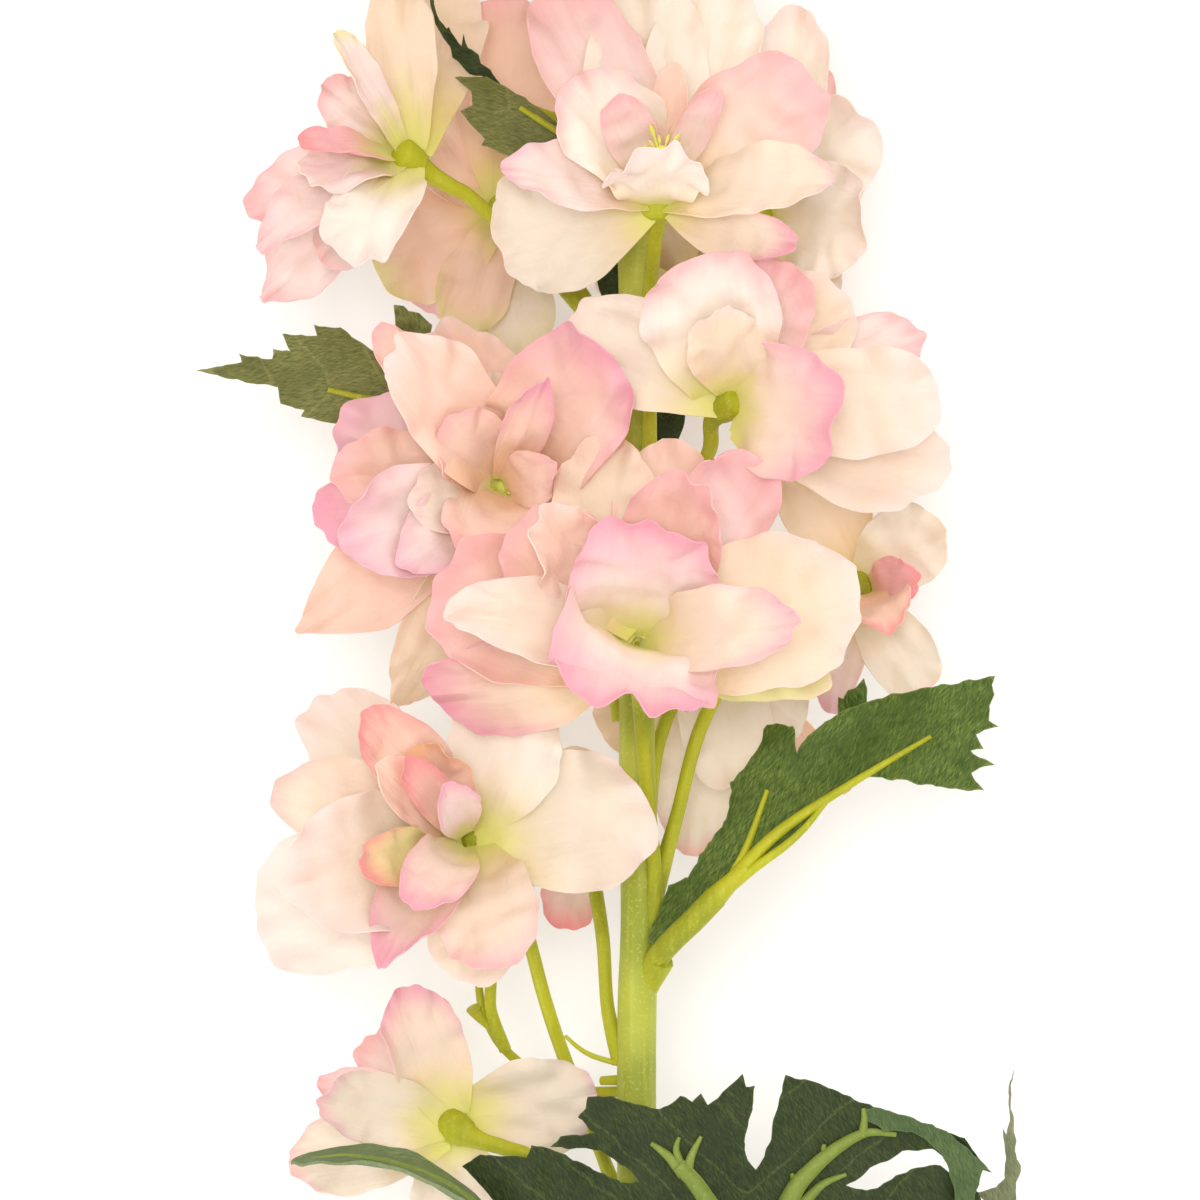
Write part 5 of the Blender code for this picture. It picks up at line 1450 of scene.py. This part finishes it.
def rib_distance(name, place):
    """How far a grid place is from the nearest rib of its leaf."""
    nearest = 1e9
    for leaf, places, *_ in LIMBS:
        if leaf == name:
            flat = [np.array(spot[:2], float) for spot in places]
            for first, second in zip(flat, flat[1:]):
                run = second - first
                share = np.clip((place - first) @ run / (run @ run), 0, 1)
                nearest = min(nearest, np.linalg.norm(place - first - run * share))
    return nearest


def cut_leaf(name, leaf, finish):
    """A leaf from its outline, with fine triangles, waved away from its ribs."""
    rim = []
    cut = leaf[4]
    for first, second in zip(cut, cut[1:] + cut[:1]):
        first = np.array(first, float)
        second = np.array(second, float)
        steps = max(1, round(np.linalg.norm(second - first) / LEAF_STEP))
        rim += [first + (second - first) * step / steps for step in range(steps)]
    rim = np.array(rim)
    span = np.linalg.norm(np.subtract(leaf[0][:2], leaf[1][:2]))
    nicks = np.random.default_rng(SEED).uniform(-1, 1, rim.shape) * min(NICK, span / NICK_SPAN)
    rim += (nicks + np.roll(nicks, 1, axis=0)) * 0.5

    # A triangle grid of points inside the outline, joined up with the rim
    inside = []
    low = rim.min(axis=0)
    high = rim.max(axis=0)
    after = np.roll(rim, -1, axis=0)
    slant = (after[:, 0] - rim[:, 0]) / (after[:, 1] - rim[:, 1] + 1e-9)
    for row, down in enumerate(np.arange(low[1], high[1], LEAF_STEP * 0.87)):
        crossing = (rim[:, 1] > down) != (after[:, 1] > down)
        for across in np.arange(low[0] + (row % 2) * LEAF_STEP / 2, high[0], LEAF_STEP):
            place = np.array((across, down))
            hits = crossing & (across < rim[:, 0] + (down - rim[:, 1]) * slant)
            if hits.sum() % 2 and np.linalg.norm(rim - place, axis=1).min() > LEAF_STEP * 0.55:
                inside.append(place)
    flat = [Vector(place) for place in list(rim) + inside]
    edges = [(index, (index + 1) % len(rim)) for index in range(len(rim))]
    flat, _, faces, *_ = geometry.delaunay_2d_cdt(flat, edges, [], 1, 1e-4)
    used = sorted({corner for face in faces for corner in face})
    number = {corner: place for place, corner in enumerate(used)}
    flat = [np.array(flat[corner]) for corner in used]
    faces = [tuple(number[corner] for corner in face) for face in faces]

    # The pressed form: each point's height, and what its dye needs to know
    middle = []
    spots = []
    edge = []
    for place in flat:
        share, across = leaf_shares(leaf, place)
        free = np.clip(rib_distance(name, place) / RIB_HOLD, 0, 1)
        wave = math.sin(share * 11 + across * 0.05) + 0.6 * math.sin(across * 0.09 - share * 7 + 1)
        height = leaf_height(leaf, place) + LEAF_WAVE * wave * free**1.4
        middle.append(seen(*place, height))
        spots.append(np.array((share * span, across)) * GRID / (100 * MM))
        edge.append(np.clip(1 - np.linalg.norm(rim - place, axis=1).min() / EDGE_BAND, 0, 1))
    middle = np.array(middle)

    # Both faces, and the cut edge between them
    verts = np.concatenate((middle + UP * LEAF_THICKNESS / 2, middle - UP * LEAF_THICKNESS / 2))
    behind = len(flat)
    solid = [face[::-1] for face in faces] + [tuple(corner + behind for corner in face) for face in faces]
    pairs = {pair for face in faces for pair in zip(face, face[1:] + face[:1])}
    solid += [(a, b, b + behind, a + behind) for a, b in pairs if (b, a) not in pairs]
    mesh = bpy.data.meshes.new("leaf_cut_" + name)
    mesh.from_pydata(verts.tolist(), [], solid)
    lay_flat(mesh, np.array(spots * 2))
    mesh.attributes.new("rim", "FLOAT", "POINT").data.foreach_set("value", edge * 2)
    mesh.materials.append(finish)
    smooth_skin(mesh)
    return placed(mesh.name, mesh)


def leaf_fabric(name, main, deep, pale, slant, printed=0.0):
    """Stiff green fabric with fine fibres along the leaf, faint veins and a paler cut edge."""
    material, bench = finish_of(name)
    flat = bench.node("ShaderNodeUVMap", {"uv_map": "cut"})
    fibre = 0
    for turn in (slant, slant + FIBRE_CROSSING):
        fibres = bench.node("ShaderNodeMapping", None, {"Vector": flat, "Rotation": (0, 0, turn)})
        fibres = bench.node("ShaderNodeMapping", None, {"Vector": fibres, "Scale": FIBRES})
        inputs = {"Vector": fibres, "Scale": 1.0, "Detail": 5.0, "Roughness": 0.65}
        fibre = bench.node("ShaderNodeTexNoise", None, inputs) * 0.5 + fibre
    cloud = bench.grain(130, 3)
    speck = bench.grain(1500, 2)
    colour = bench.blend(fibre.rise(0.38, 0.57), dye(deep), dye(main))
    colour = bench.blend(fibre.rise(0.53, 0.66) * 0.55, colour, dye(pale))
    colour = bench.blend(cloud.rise(0.4, 0.7) * 0.5, colour, dye(deep))
    colour = bench.blend(speck.rise(0.62, 0.72) * 0.35, colour, dye(deep))
    along, across, _ = bench.parts(flat)
    veins = ((along - across.size() * 0.9) * 60 + cloud * 3).wave().rise(0.965, 0.998)
    colour = bench.blend(veins * speck.rise(0.3, 0.6) * printed, colour, dye(pale))
    colour = bench.blend(bench.attribute("rim").rise(0.8, 1.0) * 0.3, colour, dye(pale))
    height = bench.raised(fibre, 0.0003, 0.6, bench.raised(cloud, 0.001, 0.4))
    inputs = {"Base Color": colour, "Roughness": 0.62, "Normal": height, "Specular IOR Level": 0.3}
    front = bench.node("ShaderNodeBsdfPrincipled", None, inputs)
    through = bench.node("ShaderNodeBsdfTranslucent", None, {"Color": colour, "Normal": height})
    mixed = {0: LEAF_LIGHT_THROUGH, 1: front, 2: through}
    close_finish(bench, bench.node("ShaderNodeMixShader", None, mixed))
    return material


# Dyes of each fabric: main, deep and pale; then the slant of its fibres and how far veins are printed
olive = leaf_fabric(
    "olive leaf fabric", (0.50, 0.50, 0.27), (0.34, 0.37, 0.18), (0.62, 0.61, 0.40), 0.1, 0.3,
)
fern = leaf_fabric(
    "fern leaf fabric", (0.38, 0.46, 0.17), (0.20, 0.29, 0.08), (0.60, 0.65, 0.37), 0.2,
)
dark = leaf_fabric(
    "dark leaf fabric", (0.22, 0.27, 0.11), (0.12, 0.17, 0.06), (0.36, 0.42, 0.22), 0.3, 0.4,
)
under = leaf_fabric(
    "leaf underside", (0.35, 0.43, 0.25), (0.25, 0.33, 0.18), (0.44, 0.53, 0.32), 0.1,
)
silver = leaf_fabric(
    "silvery leaf fabric", (0.48, 0.54, 0.37), (0.36, 0.44, 0.24), (0.62, 0.65, 0.52), 0.1,
)
grey = leaf_fabric(
    "edge-on leaf", (0.56, 0.58, 0.44), (0.44, 0.48, 0.33), (0.68, 0.69, 0.55), 0.1,
)
LEAF_FINISHES = {
    "left": olive,
    "upper": olive,
    "tab": olive,
    "side": fern,
    "shoulder": fern,
    "fin": grey,
    "front_fold": under,
    "arch": silver,
}
for name, leaf in LEAVES.items():
    blade = cut_leaf(name, leaf, LEAF_FINISHES.get(name, dark))
    settle(blade)
    if name != "front_fold":
        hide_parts("leaf_" + name)
cut = petal_cut(STRAP_STATIONS, STRAP_ACROSS)
limbs = {"leaf_ribs": ([], []), "front_leaf_ribs": ([], [])}
for number, (name, (root, row)) in enumerate(STRAPS.items()):
    strap = listed_petals([row])[0]
    base = seen(*root)
    start = base + unit(strap["tip"] - base) * LEAF_OFFSET
    points = petal_surface(start, strap, cut, random.Random(SEED + number), STRAP_RUFFLE)
    s, a, rim, _ = cut
    cloth = Cloth()
    cloth.sheet(points, LEAF_THICKNESS, np.stack((s * 0.35, a * 0.08), axis=-1), {"rim": rim**6})
    blade = cloth.piece("leaf_cut_" + name, LEAF_FINISHES.get(name, dark))
    settle(blade)
    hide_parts("leaf_" + name)
    if name == "arch":
        spine = points[::SPINE_STEP, STRAP_ACROSS // 2] + UP * LEAF_THICKNESS * 0.4
        limbs["front_leaf_ribs"][0].append(list(spine))
        limbs["front_leaf_ribs"][1].append(np.linspace(*SPINE_RADII, len(spine)) * MM)
for name, places, start, end in LIMBS:
    line = []
    sizes = [start + (end - start) * share for share in np.linspace(0, 1, len(places))]
    for place, size in zip(places, sizes):
        if len(place) == 3:
            line.append(seen(*place))
        else:
            proud = UP * (LEAF_THICKNESS / 2 + size * 0.6 * MM)
            line.append(seen(*place, leaf_height(LEAVES[name], place)) + proud)
    paths, girths = limbs["front_leaf_ribs" if name == "front" else "leaf_ribs"]
    paths.append(line)
    girths.append([size * MM for size in sizes])
green_finish = moulded_plastic(
    "rib plastic", (0.49, 0.55, 0.22), (0.60, 0.65, 0.34), (0.37, 0.45, 0.14), 0.00004,
)
for (name, (paths, girths)), finish in zip(limbs.items(), (stalk_finish, green_finish)):
    ribs = wire_frame(name, paths, girths)
    grow(ribs, tube, {"Sides": 12, "Steps": 8, "Seam": 0.1, "Material": finish})
    settle(ribs)

# The studio: a white table, a soft key light over the spike, a low fill on either side of it, and a
# camera that looks straight down from where the photograph's did.
TABLE_HALF = 9
LIGHT_AIM = Vector((0, 0, 0.04))
FILL_SIZE = 0.9
FILL_WARMTH = (1, 0.98, 0.96)
SENSOR = 36
floor_mesh = bpy.data.meshes.new("table")
corners = [(x * TABLE_HALF, y * TABLE_HALF, 0) for x, y in ((-1, -1), (1, -1), (1, 1), (-1, 1))]
floor_mesh.from_pydata(corners, [], [(0, 1, 2, 3)])
floor = placed("table", floor_mesh)
table_finish, bench = finish_of("white table")
paper = bench.grain(6)
colour = bench.blend(paper, dye((0.975, 0.975, 0.975)), dye((0.985, 0.985, 0.985)))
inputs = {"Base Color": colour, "Roughness": 0.9}
close_finish(bench, bench.node("ShaderNodeBsdfPrincipled", None, inputs))
floor_mesh.materials.append(table_finish)


def soft_light(name, place, size, power, warmth):
    """A round soft light aimed at the middle of the spike and unseen by the camera."""
    light = bpy.data.lights.new(name, "AREA")
    light.shape = "DISK"
    light.size = size
    light.energy = power
    light.color = warmth
    lamp = placed(name, light)
    lamp.location = place
    lamp.rotation_euler = (LIGHT_AIM - Vector(place)).to_track_quat("-Z", "Y").to_euler()
    lamp.visible_camera = False


soft_light("key", (-0.06, 0.12, 1.45), 0.5, 7.2, (1, 0.98, 0.95))
soft_light("near fill", (-0.4, -1.3, 0.8), FILL_SIZE, 5.4, FILL_WARMTH)
soft_light("far fill", (0.7, 1.2, 0.8), FILL_SIZE, 5.0, FILL_WARMTH)
sky = bpy.data.worlds.new("studio")
sky.use_nodes = True
sky.node_tree.nodes["Background"].inputs["Color"].default_value = (1, 0.98, 0.955, 1)
sky.node_tree.nodes["Background"].inputs["Strength"].default_value = 0.99
bpy.context.scene.world = sky
view = bpy.context.scene.view_settings
view.view_transform = "Standard"
view.look = "None"
view.exposure = 0.0

lens = bpy.data.cameras.new("camera")
lens.sensor_width = SENSOR
lens.lens = SENSOR * EYE_HEIGHT / (GRID * GRID_MIDDLE * 2)
camera = placed("camera", lens)
camera.location = (0, SHIFT_Y, STEM_LIFT + EYE_HEIGHT)
bpy.context.scene.camera = camera
